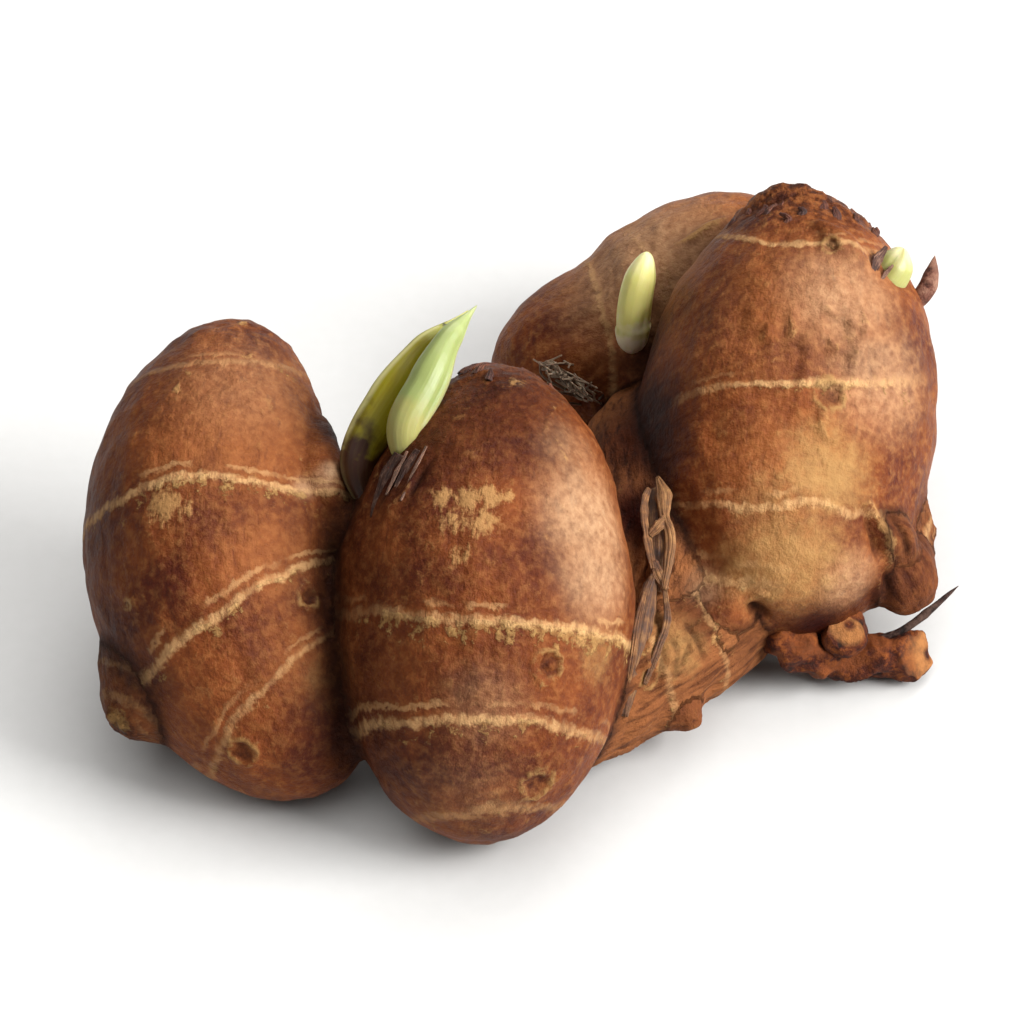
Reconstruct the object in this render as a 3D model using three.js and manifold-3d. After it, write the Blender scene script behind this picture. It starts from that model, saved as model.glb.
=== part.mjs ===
// Aromatic ginger: one clump of fresh rhizome with sprouting shoots, cut-back roots and dry sheath remains.
//
// Units are millimetres, +Z is up. The origin is on the surface that the clump lies on, under the middle of
// its bounding box. The two front lobes point to the back and up, and their root ends lie nearest -Y.
//
// The rhizome grew as one piece, so it is one solid: four plump lobes joined at their root ends by the old
// root stock. Each shoot, root and dry sheath strip sits in a close pocket of the rhizome as its own solid.

import * as THREE from "three";
import { mergeVertices } from "three/addons/utils/BufferGeometryUtils.js";
import Module from "manifold-3d";

const wasm = await Module();
wasm.setup();

// ---- Driving dimensions -------------------------------------------------------------------------------

const POCKET_GAP = 0.3; // clearance between a shoot or root and the pocket it grows from
const RING_HEIGHT = 0.24; // how far a leaf-scar ring stands proud of the skin
const RING_HALF_WIDTH = 0.5; // half the width of a leaf-scar ring along the lobe
const LOBE_SIDES = 24;
const LOBE_STATIONS = 14;
const FLOOR_BLOCK = 200; // the block that trims the resting flats, wider than the clump

// A lobe runs along its spine, from its root end to its growing tip. girth holds radii at even steps from
// one end to the other. A cap power of 2 gives an elliptical end, and a higher one a blunter end.
const LOBES = {
  front_left: {
    spine: [[-12.8, -22.7, 3.4], [-17.6, -16.9, 7], [-20.6, -11.9, 10.7], [-21.4, -4.3, 14.5], [-19.3, 6.5, 19.4]],
    girth: [8.4, 8.7, 9.2, 8.9, 8.4],
    rootCap: 2.6,
    tipCap: 2.1,
    rings: [0.2, 0.36, 0.55, 0.84],
  },
  front_right: {
    spine: [[-2.4, -27.5, 3], [-2.8, -22.9, 6.4], [-2.8, -15.6, 12], [-2.3, -9.2, 17.1], [-1.6, -1.2, 22.8]],
    girth: [9.4, 9.8, 10.2, 9.6, 9.0],
    rootCap: 2.6,
    tipCap: 2.1,
    rings: [0.06, 0.22, 0.44, 0.9],
  },
  right: {
    spine: [[15.2, -10.2, 5.9], [17, -5.1, 8.2], [18.5, 3.6, 11.3], [19.4, 10.1, 15.7], [20.1, 17.5, 21.4]],
    girth: [9.8, 10.0, 10.6, 10.1, 9.0],
    rootCap: 3.2,
    tipCap: 2.5,
    rings: [0.1, 0.23, 0.5, 0.88],
  },
  back: {
    spine: [[-1.9, 13.6, 5.4], [2.9, 15.4, 6.6], [8.3, 17.1, 7.4], [14.9, 18.9, 9.3], [24.5, 18, 9]],
    girth: [7.0, 7.2, 8.2, 8.8, 8.6],
    rootCap: 2.3,
    tipCap: 2.3,
    rings: [0.29, 0.52, 0.78],
  },
  root_stock: {
    spine: [[-1.3, -21.3, 5.1], [4.4, -15.7, 5.1], [9.8, -10.7, 5.1], [14.2, -6.2, 5.1], [16.7, -1.2, 5.1]],
    girth: [5.2, 5.2, 5.2, 5.4, 5.6],
    rootCap: 2.6,
    tipCap: 2.6,
    rings: [0.42, 0.6],
  },
  saddle: {
    spine: [[6.7, -13.7, 6.6], [8.6, -7.2, 7.2], [9.6, 0.3, 7], [10, 11.3, 7]],
    girth: [5.6, 6.6, 7.2, 7.2],
    rootCap: 2.4,
    tipCap: 2.4,
    rings: [],
  },
};

// Buds that never grew out, as low swellings on the skin: centre, and radius.
const BUDS = [
  { at: [-25.4, -18.1, 7], radius: 4.2 },
  { at: [25.6, -1.3, 6.6], radius: 4 },
  { at: [26.1, -5.2, 6.7], radius: 2.6 },
];

// Shoots, roots and sheath remains are tapered bodies: points along the middle, and radii at even steps.
const SHOOTS = {
  shoot_front_outer: {
    spine: [[-10.3, -10.3, 17], [-11.2, -7.6, 19.7], [-9.2, -4.6, 22.6], [-6.9, -1.4, 24.5], [-3.8, 1.3, 25.6]],
    girth: [1.4, 1.7, 1.7, 1.2, 0.3],
  },
  shoot_front_inner: {
    spine: [[-7.6, -9.9, 20.8], [-8, -8.1, 23.4], [-6.6, -5.6, 25.3], [-5.2, -2.8, 26.6], [-3.2, 0.2, 27.1]],
    girth: [1.4, 1.5, 1.4, 1.05, 0.35],
  },
  shoot_back: {
    spine: [[7.8, 11.7, 11.2], [7.7, 11.1, 14], [8.1, 12.3, 17], [8.6, 13.7, 19.6]],
    girth: [1.5, 1.7, 1.6, 1.3, 0.9],
  },
  shoot_bud_right: {
    spine: [[24.4, 8.6, 19.8], [25.8, 9.8, 21.3], [26.6, 10.8, 22.7]],
    girth: [1.4, 1.4, 1.0, 0.4],
  },
};

const ROOTS = {
  root_stub_thick: {
    spine: [[16.4, -8.9, 7.4], [18.9, -10.1, 4.2], [22.2, -9.5, 2.4], [26, -8.9, 1.9], [28.8, -8.7, 1.9]],
    girth: [1.7, 1.6, 1.5, 1.7, 1.6],
  },
  root_stub_nub: {
    spine: [[21.6, -9.4, 3.2], [22.3, -9.6, 4.9], [22.7, -10.2, 6.4]],
    girth: [1.4, 1.7, 1.5],
  },
  rootlet_thin: {
    spine: [[24.2, -8.7, 3], [26.9, -7.9, 3.8], [30.66, -5.1, 5.1]],
    girth: [0.45, 0.35, 0.25],
  },
  root_stub_shoulder: {
    spine: [[27, 10.3, 16.8], [28.5, 11.3, 18.4], [29.1, 13.3, 19.8]],
    girth: [0.9, 0.7, 0.5],
  },
  root_stub_under: {
    spine: [[-21.8, -0.9, 8.6], [-22.2, 1.7, 5.8], [-23, 3.5, 3.4]],
    girth: [1.2, 1.0, 0.8],
  },
  root_stub_rear: {
    spine: [[14.2, 23.9, 5.6], [13.6, 26.7, 4.8], [14.4, 29, 3.6]],
    girth: [1.3, 1.0, 0.8],
  },
};

const SHEATHS = {
  sheath_strip_upper: {
    spine: [[8.8, -3.6, 14], [9.5, -6, 13.9], [9.8, -7.9, 12.9], [9.2, -10.5, 12.2]],
    girth: [0.5, 0.8, 0.8, 0.5],
  },
  sheath_strip_lower: {
    spine: [[8.5, -12.7, 11], [7.8, -15.1, 9.9], [7.2, -17.3, 8.4], [6.7, -19.5, 6.6]],
    girth: [0.5, 0.7, 0.6, 0.4],
  },
  bud_scale_front: {
    spine: [[-9.7, -13.3, 19.2], [-9.5, -11.5, 21.4], [-8.9, -10.1, 23.4]],
    girth: [1.1, 1.0, 0.6],
  },
};

const COLOURS = {
  rhizome: { color: 0x8a5433, roughness: 0.55, metalness: 0 },
  shoot: { color: 0xb9cf72, roughness: 0.45, metalness: 0 },
  root: { color: 0x7a4a28, roughness: 0.85, metalness: 0 },
  sheath: { color: 0xa07a50, roughness: 0.9, metalness: 0 },
};

// ---- Shapes -------------------------------------------------------------------------------------------

// The value at share (0 to 1) of a list of values at even steps, eased between neighbours.
function along(values, share) {
  const x = share * (values.length - 1);
  const i = Math.min(Math.floor(x), values.length - 2);
  return THREE.MathUtils.lerp(values[i], values[i + 1], THREE.MathUtils.smoothstep(x - i, 0, 1));
}

// The radius of a rounded body at share of its length, with no ring on it.
function bodyRadius({ girth, rootCap = 2, tipCap = 2 }, share) {
  const power = share > 0.5 ? tipCap : rootCap;
  return along(girth, share) * Math.sqrt(Math.max(0, 1 - Math.abs(2 * share - 1) ** power));
}

// A lathe profile up the y axis, from 0 to length, with a peak at each ring.
function profileOf(shape, length, stations, grow) {
  const ringHalf = RING_HALF_WIDTH / length;
  const rings = shape.rings ?? [];
  const even = [];
  for (let i = 1; i < stations; i++) even.push((1 - Math.cos((Math.PI * i) / stations)) / 2);
  const shares = even.filter((s) => rings.every((ring) => Math.abs(s - ring) > 1.6 * ringHalf));
  rings.forEach((ring) => shares.push(ring - ringHalf, ring, ring + ringHalf));
  shares.sort((a, b) => a - b);
  const points = shares.map((s) => {
    const proud = rings.includes(s) ? RING_HEIGHT : 0;
    return new THREE.Vector2(bodyRadius(shape, s) + proud + grow, s * length);
  });
  return [new THREE.Vector2(0, -grow), ...points, new THREE.Vector2(0, length + grow)];
}

// A lathe body bent so that its y axis follows the spine.
function bentBody(shape, { sides = LOBE_SIDES, stations = LOBE_STATIONS, grow = 0 } = {}) {
  const curve = new THREE.CatmullRomCurve3(shape.spine.map((p) => new THREE.Vector3(...p)), false, "centripetal");
  const length = curve.getLength();
  const geometry = new THREE.LatheGeometry(profileOf(shape, length, stations, grow), sides);
  const steps = 60;
  const frames = curve.computeFrenetFrames(steps, false);
  const position = geometry.getAttribute("position");
  for (let i = 0; i < position.count; i++) {
    const height = position.getY(i);
    const share = THREE.MathUtils.clamp(height / length, 0, 1);
    const step = Math.round(share * steps);
    const past = height - share * length; // what a grown body has beyond either end
    const point = curve
      .getPointAt(share)
      .addScaledVector(frames.tangents[step], past)
      .addScaledVector(frames.normals[step], position.getX(i))
      .addScaledVector(frames.binormals[step], -position.getZ(i));
    position.setXYZ(i, point.x, point.y, point.z);
  }
  return geometry;
}

// ---- Solids -------------------------------------------------------------------------------------------

// A closed geometry as a solid. Only the positions matter, with the shared ones merged.
function solid(geometry) {
  const bare = geometry.clone();
  bare.deleteAttribute("normal");
  bare.deleteAttribute("uv");
  const merged = mergeVertices(bare, 1e-4);
  const made = new wasm.Manifold(
    new wasm.Mesh({
      numProp: 3,
      vertProperties: new Float32Array(merged.getAttribute("position").array),
      triVerts: new Uint32Array(merged.index.array),
    }),
  );
  return made;
}

// The largest body of a solid, without the slivers that a cut can leave.
function wholeBody(made) {
  return made.decompose().reduce((a, b) => (b.volume() > a.volume() ? b : a));
}

// A named mesh of a solid.
function mesh(name, made, look) {
  const { vertProperties, triVerts } = made.getMesh();
  const geometry = new THREE.BufferGeometry();
  geometry.setAttribute("position", new THREE.BufferAttribute(new Float32Array(vertProperties), 3));
  geometry.setIndex(new THREE.BufferAttribute(new Uint32Array(triVerts), 1));
  geometry.computeVertexNormals();
  const piece = new THREE.Mesh(geometry, new THREE.MeshStandardMaterial(COLOURS[look]));
  piece.name = name;
  return piece;
}

const floorBlock = solid(
  new THREE.BoxGeometry(FLOOR_BLOCK, FLOOR_BLOCK, FLOOR_BLOCK).translate(0, 0, -FLOOR_BLOCK / 2),
);

// ---- The clump ----------------------------------------------------------------------------------------

const THIN = { sides: 12, stations: 9 };
const HAIR = { sides: 8, stations: 6 };

const group = new THREE.Group();

let rhizome = null;
for (const lobe of Object.values(LOBES)) {
  const body = solid(bentBody(lobe));
  rhizome = rhizome ? rhizome.add(body) : body;
}
for (const { at, radius } of BUDS) {
  rhizome = rhizome.add(solid(new THREE.SphereGeometry(radius, 14, 10).translate(...at)));
}
rhizome = rhizome.subtract(floorBlock);

// Each small piece keeps its shape, and what was made before it gives way with a pocket.
const small = [];
const families = [
  [SHOOTS, "shoot"],
  [ROOTS, "root"],
  [SHEATHS, "sheath"],
];
for (const [family, look] of families) {
  for (const [name, shape] of Object.entries(family)) {
    const detail = shape.girth[0] < 0.6 ? HAIR : THIN;
    const body = solid(bentBody(shape, detail)).subtract(floorBlock);
    const pocket = solid(bentBody(shape, { ...detail, grow: POCKET_GAP }));
    rhizome = rhizome.subtract(pocket);
    small.forEach((other) => {
      other.body = other.body.subtract(pocket);
    });
    small.push({ name, look, body });
  }
}

group.add(mesh("rhizome", wholeBody(rhizome), "rhizome"));
small.forEach(({ name, look, body }) => group.add(mesh(name, wholeBody(body), look)));

export default group;
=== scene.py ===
"""Looks for a clump of fresh aromatic ginger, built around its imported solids.

The clump is one rhizome of plump lobes, with young shoots, cut-back roots and dry remains of leaf sheaths.
Lengths are written in millimetres and turned to metres by MM. A place round a body is given by its share of
the way along the spine, from the root end to the tip, and by its turn, from the side that faces the viewer.
"""

import logging
import math
from collections.abc import Callable, Sequence
from dataclasses import dataclass
from enum import Enum
from functools import cached_property, partial

import bpy
import numpy as np
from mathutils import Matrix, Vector, noise


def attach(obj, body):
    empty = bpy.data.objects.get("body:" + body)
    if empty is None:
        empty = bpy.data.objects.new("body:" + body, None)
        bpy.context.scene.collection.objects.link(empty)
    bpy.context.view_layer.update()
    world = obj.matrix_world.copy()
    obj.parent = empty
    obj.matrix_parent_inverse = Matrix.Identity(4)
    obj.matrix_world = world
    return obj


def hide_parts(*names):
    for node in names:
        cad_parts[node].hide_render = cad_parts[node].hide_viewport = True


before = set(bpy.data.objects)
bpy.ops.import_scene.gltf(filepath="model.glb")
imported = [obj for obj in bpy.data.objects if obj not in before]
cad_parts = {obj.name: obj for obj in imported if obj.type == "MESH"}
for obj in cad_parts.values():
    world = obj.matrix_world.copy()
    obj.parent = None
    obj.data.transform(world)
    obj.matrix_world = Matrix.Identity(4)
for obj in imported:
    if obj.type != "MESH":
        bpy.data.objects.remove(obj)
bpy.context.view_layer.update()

BODY = "root"
MM = 0.001
VIEWER = np.array((0.0, -1.0, 1.0)) / math.sqrt(2.0)  # a turn of 0 round a body faces this way
LOG = logging.getLogger("aromatic_ginger")

Point = tuple[float, float, float]
Node = bpy.types.Node
AddNode = Callable[..., Node]
Section = Callable[[np.ndarray, np.ndarray], np.ndarray]  # what multiplies a radius, from share and turn

TINY = 1e-12  # stands in for a length of 0 where something is divided by it
EASED = {"interpolation_type": "SMOOTHSTEP"}  # for a MapRange that starts and ends gently


# ---- Small tools --------------------------------------------------------------------------------------


def unit(vectors: np.ndarray) -> np.ndarray:
    """The vectors at length 1."""
    return vectors / np.maximum(np.linalg.norm(vectors, axis=-1, keepdims=True), TINY)


def smooth_step(low: float, high: float, values: np.ndarray) -> np.ndarray:
    """0 below low, 1 above high, and eased between them."""
    x = np.clip((values - low) / (high - low), 0.0, 1.0)
    return x * x * (3.0 - 2.0 * x)


def bell(values: np.ndarray, width: float) -> np.ndarray:
    """1 at 0, falling away to either side over about width."""
    return np.exp(-((values / width) ** 2))


def grain_noise(places: np.ndarray, scale: Sequence[float], seed: float, octaves: int = 1) -> np.ndarray:
    """Smooth noise from about -1 to 1 at each place.

    Args:
        places: Places, in millimetres.
        scale: How many bumps there are to the millimetre along each axis.
        seed: Moves the noise, so that two uses differ.
        octaves: How many finer layers are added, each half as strong.

    Returns:
        One value for each place.
    """
    total = np.zeros(len(places))
    for layer in range(octaves):
        rows = places * np.array(scale) * 2.0**layer + (seed, 7.3 * layer, -seed)
        total += np.array([noise.noise(Vector(row)) for row in rows]) / 2.0**layer
    return total


def read_rows(items: bpy.types.bpy_prop_collection, value: str) -> np.ndarray:
    """Reads three numbers from each vertex or face of a mesh.

    Args:
        items: The mesh's vertices or faces.
        value: Blender's name for the numbers, such as "co".

    Returns:
        One row for each vertex or face.
    """
    rows = np.empty(len(items) * 3)
    items.foreach_get(value, rows)
    return rows.reshape(-1, 3)


def read_places(piece: bpy.types.Object) -> np.ndarray:
    """The places of a mesh's vertices, in metres."""
    return read_rows(piece.data.vertices, "co")


def write_places(piece: bpy.types.Object, places: np.ndarray) -> None:
    """Moves a mesh's vertices to new places, in metres."""
    piece.data.vertices.foreach_set("co", places.ravel())
    piece.data.update()


def keep_attribute(piece: bpy.types.Object, name: str, *columns: np.ndarray) -> None:
    """Stores numbers on a mesh's vertices, for the materials to read.

    Args:
        piece: The mesh object.
        name: What the materials call the numbers.
        columns: Three rows of numbers, each with one for every vertex.
    """
    layer = piece.data.attributes.new(name, "FLOAT_VECTOR", "POINT")
    layer.data.foreach_set("vector", np.stack(columns, axis=1).astype(np.float32).ravel())


def only(*pieces: bpy.types.Object) -> bpy.types.Object:
    """Selects these pieces alone, and makes the first one active.

    Args:
        pieces: The pieces.

    Returns:
        The first one.
    """
    bpy.ops.object.select_all(action="DESELECT")
    for piece in pieces:
        piece.select_set(True)
    bpy.context.view_layer.objects.active = pieces[0]
    return pieces[0]


def joined(pieces: Sequence[bpy.types.Object], name: str) -> bpy.types.Object:
    """Joins pieces into one.

    Args:
        pieces: The pieces, one or more.
        name: The name of the whole.

    Returns:
        The whole.
    """
    piece = only(*pieces)
    if len(pieces) > 1:
        bpy.ops.object.join()
    piece.name = name
    piece.data.name = name
    return piece


def applied(piece: bpy.types.Object, kind: str, **settings: object) -> bpy.types.Object:
    """Adds a modifier to a piece and applies it.

    Args:
        piece: The piece.
        kind: Blender's name for the modifier.
        settings: The modifier's settings.

    Returns:
        The piece.
    """
    only(piece)
    modifier = piece.modifiers.new(kind.lower(), kind)
    for name, value in settings.items():
        setattr(modifier, name, value)
    bpy.ops.object.modifier_apply(modifier=modifier.name)
    return piece


def shaded(piece: bpy.types.Object, finish: bpy.types.Material) -> bpy.types.Object:
    """Shades a piece smooth and gives it its finish.

    Args:
        piece: The piece.
        finish: The finish's material.

    Returns:
        The piece.
    """
    only(piece)
    bpy.ops.object.shade_smooth()
    piece.data.materials.clear()
    piece.data.materials.append(finish)
    return piece


def settled(piece: bpy.types.Object, node: str) -> bpy.types.Object:
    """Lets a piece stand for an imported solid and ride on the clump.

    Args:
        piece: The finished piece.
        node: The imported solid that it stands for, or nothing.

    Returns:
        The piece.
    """
    if node:
        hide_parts(node)
    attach(piece, BODY)
    return piece


def turned_out(piece: bpy.types.Object) -> bpy.types.Object:
    """Makes every face of a closed piece point outwards.

    Args:
        piece: The piece, at its final shape.

    Returns:
        The piece.
    """
    bpy.ops.object.select_all(action="DESELECT")
    piece.select_set(True)
    bpy.context.view_layer.objects.active = piece
    bpy.ops.object.mode_set(mode="EDIT")
    bpy.ops.mesh.select_all(action="SELECT")
    bpy.ops.mesh.normals_make_consistent(inside=False)
    bpy.ops.object.mode_set(mode="OBJECT")
    return piece


# ---- Bodies that grow along a spine -------------------------------------------------------------------


class Spine:
    """A smooth curve through a few points, with a front and a side at every place along it."""

    STEPS = 48  # from one point to the next
    SAMPLES = 320  # along the finished curve
    BATCH = 20000  # places that are looked up at a time

    def __init__(self, points: Sequence[Point]) -> None:
        """Draws the curve.

        Args:
            points: Points that the curve passes through, in millimetres.
        """
        knots = np.array(points) * MM
        line = [2 * knots[0] - knots[1], *knots, 2 * knots[-1] - knots[-2]]
        path = np.concatenate([self._stretch(*line[i : i + 4]) for i in range(len(knots) - 1)])
        walked = np.concatenate([[0.0], np.cumsum(np.linalg.norm(np.diff(path, axis=0), axis=1))])
        self.length = float(walked[-1])
        even = np.linspace(0.0, self.length, self.SAMPLES)
        self.places = np.stack([np.interp(even, walked, path[:, k]) for k in range(3)], axis=1)
        self.along = unit(np.gradient(self.places, axis=0))
        self.side = unit(np.cross(self.along, VIEWER))
        self.front = np.cross(self.side, self.along)

    def _stretch(
        self, before: np.ndarray, start: np.ndarray, end: np.ndarray, after: np.ndarray
    ) -> np.ndarray:
        """Draws a centripetal Catmull-Rom curve between two knots.

        Args:
            before: The knot before the stretch.
            start: The knot that it leaves.
            end: The knot that it reaches.
            after: The knot after it.

        Returns:
            Places along the stretch, in metres.
        """
        pairs = ((before, start), (start, end), (end, after))
        gaps = [max(math.sqrt(np.linalg.norm(b - a)), TINY) for a, b in pairs]
        leave = (start - before) / gaps[0] - (end - before) / (gaps[0] + gaps[1]) + (end - start) / gaps[1]
        arrive = (end - start) / gaps[1] - (after - start) / (gaps[1] + gaps[2]) + (after - end) / gaps[2]
        leave, arrive = leave * gaps[1], arrive * gaps[1]
        t = np.linspace(0.0, 1.0, self.STEPS)[:, None]
        return (
            start * (2 * t**3 - 3 * t**2 + 1)
            + leave * (t**3 - 2 * t**2 + t)
            + end * (3 * t**2 - 2 * t**3)
            + arrive * (t**3 - t**2)
        )

    def frame(self, share: np.ndarray) -> tuple[np.ndarray, np.ndarray, np.ndarray]:
        """Where the curve lies and which way it faces.

        Args:
            share: Shares of the way along the curve.

        Returns:
            The curve's place, its side and its front at each share.
        """
        x = np.clip(share, 0.0, 1.0) * (self.SAMPLES - 1)
        i = np.minimum(x.astype(int), self.SAMPLES - 2)
        part = (x - i)[:, None]
        tables = (self.places, self.side, self.front)
        place, side, front = (rows[i] * (1 - part) + rows[i + 1] * part for rows in tables)
        return place, unit(side), unit(front)

    def place(self, share: np.ndarray, turn: np.ndarray, reach: np.ndarray) -> np.ndarray:
        """Places beside the curve.

        Args:
            share: Share of the way along the curve.
            turn: Angle round it, from the viewer's side.
            reach: Distance from it, in metres.

        Returns:
            One place for each share.
        """
        middle, side, front = self.frame(share)
        return middle + reach[:, None] * (np.cos(turn)[:, None] * front + np.sin(turn)[:, None] * side)

    def beside(self, places: np.ndarray) -> tuple[np.ndarray, np.ndarray, np.ndarray]:
        """How places lie beside the curve.

        Args:
            places: Places in the row frame, in metres.

        Returns:
            Each place's share of the way along, its turn round the curve, and its distance from it.
        """
        nearest = np.empty(len(places), int)
        for start in range(0, len(places), self.BATCH):
            part = places[start : start + self.BATCH]
            gap = (self.places**2).sum(1) - 2.0 * part @ self.places.T
            nearest[start : start + self.BATCH] = gap.argmin(1)
        off = places - self.places[nearest]
        ahead = (off * self.along[nearest]).sum(1)
        share = nearest / (self.SAMPLES - 1) + ahead / self.length
        past = np.where((share < 0) | (share > 1), ahead, 0.0)
        to_front = (off * self.front[nearest]).sum(1)
        to_side = (off * self.side[nearest]).sum(1)
        return share, np.arctan2(to_side, to_front), np.sqrt(to_front**2 + to_side**2 + past**2)


@dataclass(frozen=True)
class Growth:
    """A rounded body along a spine, such as a lobe, a shoot or a root."""

    name: str
    spine: tuple[Point, ...]  # millimetres, from the root end to the tip
    girth: tuple[float, ...]  # radii at even steps along it, in millimetres
    root_cap: float = 2.0  # 2 is an elliptical end, and more is blunter
    tip_cap: float = 2.0

    @cached_property
    def curve(self) -> Spine:
        """The spine as a smooth curve."""
        return Spine(self.spine)

    def radius(self, share: np.ndarray) -> np.ndarray:
        """How thick the body is.

        Args:
            share: Shares of the way along the spine.

        Returns:
            The body's radius at each share, in metres.
        """
        x = np.clip(share, 0.0, 1.0) * (len(self.girth) - 1)
        i = np.minimum(x.astype(int), len(self.girth) - 2)
        values = np.array(self.girth)
        thick = values[i] + (values[i + 1] - values[i]) * smooth_step(0.0, 1.0, x - i)
        power = np.where(share > 0.5, self.tip_cap, self.root_cap)
        middle = np.clip(np.abs(2.0 * share - 1.0), 0.0, 1.0)
        return thick * MM * np.sqrt(1.0 - middle**power)

    def body(self, around: int, along: int, section: Section | None = None) -> bpy.types.Object:
        """Adds the body as a sphere that is drawn out along the spine. Its faces point inwards at first.

        Args:
            around: How many faces go round it.
            along: How many faces go along it.
            section: What the radius is multiplied by at each share and turn.

        Returns:
            The new mesh object.
        """
        bpy.ops.object.select_all(action="DESELECT")
        bpy.ops.mesh.primitive_uv_sphere_add(segments=around, ring_count=along, radius=1.0)
        piece = bpy.context.object
        piece.name = self.name
        ball = read_places(piece)
        share = (1.0 + ball[:, 2]) / 2.0
        turn = np.arctan2(ball[:, 0], ball[:, 1])
        reach = self.radius(share)
        if section is not None:
            reach = reach * section(share, turn)
        write_places(piece, self.curve.place(share, turn, reach))
        return piece


@dataclass(frozen=True)
class Ring:
    """The ridge round a lobe where a leaf sheath stood."""

    share: float  # how far along the lobe it lies
    lean: float = 0.0  # how much further along it lies at the side than in the middle, in millimetres
    dip: float = 0.0  # how much further along it lies at the front than at the sides, in millimetres
    strength: float = 0.8  # how clearly it shows, from 0 to 1
    torn: float = 0.4  # how much dry sheath is left below it, from 0 to 1
    width: float = 1.0  # how broad it is, against the others
    clearest: float = 0.0  # the turn at which it shows best, in degrees
    fade: float = 0.3  # how much of it is lost a quarter turn away from there


@dataclass(frozen=True)
class Lobe(Growth):
    """One plump lobe of the rhizome, with its rings."""

    rings: tuple[Ring, ...] = ()
    gnarl: float = 0.0  # how knobbly and fibrous it is, from 0 to 1
    crust: float = 0.0  # how scaly its growing tip is, from 0 to 1
    shade_and_maturity: float = 0.0  # how dark and red it is, 0 to 1: maturity, and painted shade for a lobe in less light
    skin_of: str = ""  # the lobe whose skin goes over it, if it is only a swelling of that lobe
    seed: float = 0.0


@dataclass(frozen=True)
class Crease:
    """A furrow that runs along the skin, or a raised fold or thread where its depth is below 0."""

    line: tuple[Point, ...]
    depth: float  # millimetres
    width: float  # half of its width, in millimetres
    shown: float  # how dark the painted shade in the furrow is, or how pale the fold


@dataclass(frozen=True)
class Scar:
    """A round mark in the skin where a root or bud stood, with its lengths in millimetres."""

    at: Point  # on the skin
    radius: float  # of its rim
    depth: float  # of the pit inside the rim
    rim: float  # height of the rim
    nub: float = 0.0  # height of the stump in the middle


@dataclass(frozen=True)
class Patch:
    """A place where the skin is rubbed pale, stained or otherwise unlike the rest."""

    at: Point
    radius: float
    strength: float


def patch_rows(*rows: tuple[float, ...]) -> tuple[Patch, ...]:
    """Patches from rows of numbers: the place, the radius and the strength."""
    return tuple(Patch(row[:3], *row[3:]) for row in rows)


# ---- Finishes -----------------------------------------------------------------------------------------


def linear(colour: str) -> tuple[float, float, float, float]:
    """An sRGB hex colour as linear red, green, blue and alpha."""
    parts = [int(colour[i : i + 2], 16) / 255.0 for i in (1, 3, 5)]
    return (*(c / 12.92 if c <= 0.04045 else ((c + 0.055) / 1.055) ** 2.4 for c in parts), 1.0)


def new_material(name: str, **sockets: object) -> tuple[bpy.types.Material, AddNode]:
    """Starts a material.

    Args:
        name: What the real stuff is and how it came to be.
        sockets: Values for the shader's own sockets, with _ for each space in their names.

    Returns:
        The material, and what adds a node to it.
    """
    material = bpy.data.materials.new(name)
    material.use_nodes = True
    shader = material.node_tree.nodes["Principled BSDF"]
    for socket, value in sockets.items():
        shader.inputs[socket.replace("_", " ")].default_value = value
    return material, partial(add_node, material.node_tree)


def add_node(
    tree: bpy.types.NodeTree, kind: str, *inputs: object, stops: Sequence = (), **settings: object
) -> Node:
    """Adds a node with its settings and links.

    Args:
        tree: The material's node tree.
        kind: Blender's name for the node, without "ShaderNode".
        inputs: What goes into its sockets, in their order: a node, an output, a number, a row of numbers or a
            hex colour. None leaves a socket as it is. A MapRange's four numbers are the low and high ends of
            what it reads, then of what it gives.
        stops: For a colour ramp, each stop's place from 0 to 1 and its hex colour.
        settings: The node's settings, and any sockets that are given by name.

    Returns:
        The new node.
    """
    node = tree.nodes.new("ShaderNode" + kind)
    wires = list(zip(node.inputs, inputs))
    for name, value in settings.items():
        if name in node.inputs:
            wires.append((node.inputs[name], value))
        else:
            setattr(node, name, value)
    for socket, value in wires:
        if isinstance(value, bpy.types.Node):
            value = value.outputs[0]
        if isinstance(value, bpy.types.NodeSocket):
            tree.links.new(value, socket)
        elif value is not None:
            socket.default_value = linear(value) if isinstance(value, str) else value
    for index, (place, colour) in enumerate(stops):
        elements = node.color_ramp.elements
        element = elements[index] if index < 2 else elements.new(place)
        element.position = place
        element.color = linear(colour)
    return node


def wear_surface(material: bpy.types.Material, colour: Node, rough: Node, height: Node) -> bpy.types.Material:
    """Feeds a material's shader.

    Args:
        material: The material.
        colour: The node with its colour.
        rough: The node with its roughness.
        height: The node with its relief, in millimetres.

    Returns:
        The finished material.
    """
    tree = material.node_tree
    shader = tree.nodes["Principled BSDF"]
    bump = add_node(tree, "Bump", Strength=1.0, Distance=MM, Height=height)
    for name, node in (("Base Color", colour), ("Roughness", rough), ("Normal", bump)):
        tree.links.new(node.outputs[0], shader.inputs[name])
    return material


@dataclass(frozen=True)
class SkinCues:
    """The nodes that the ginger skin's finish follows: what is stored on the skin, and four patterns."""

    ring: Node  # millimetres from the nearest ring, how clearly it shows, and how torn it is
    marks: Node  # radii from the nearest scar, how gnarled the skin is, and how scaly
    shade_and_rubbing: Node  # how much painted shade its creases and furrows get, how rubbed it is and how flaked
    tone: Node  # maturity and painted shade, warm painted light, and painted shade with discolouring
    painted_sheen: Node  # how much painted sheen, a pale highlight, it gets
    blotch: Node
    mottle: Node
    streak: Node  # along the grain
    flake: Node


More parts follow.
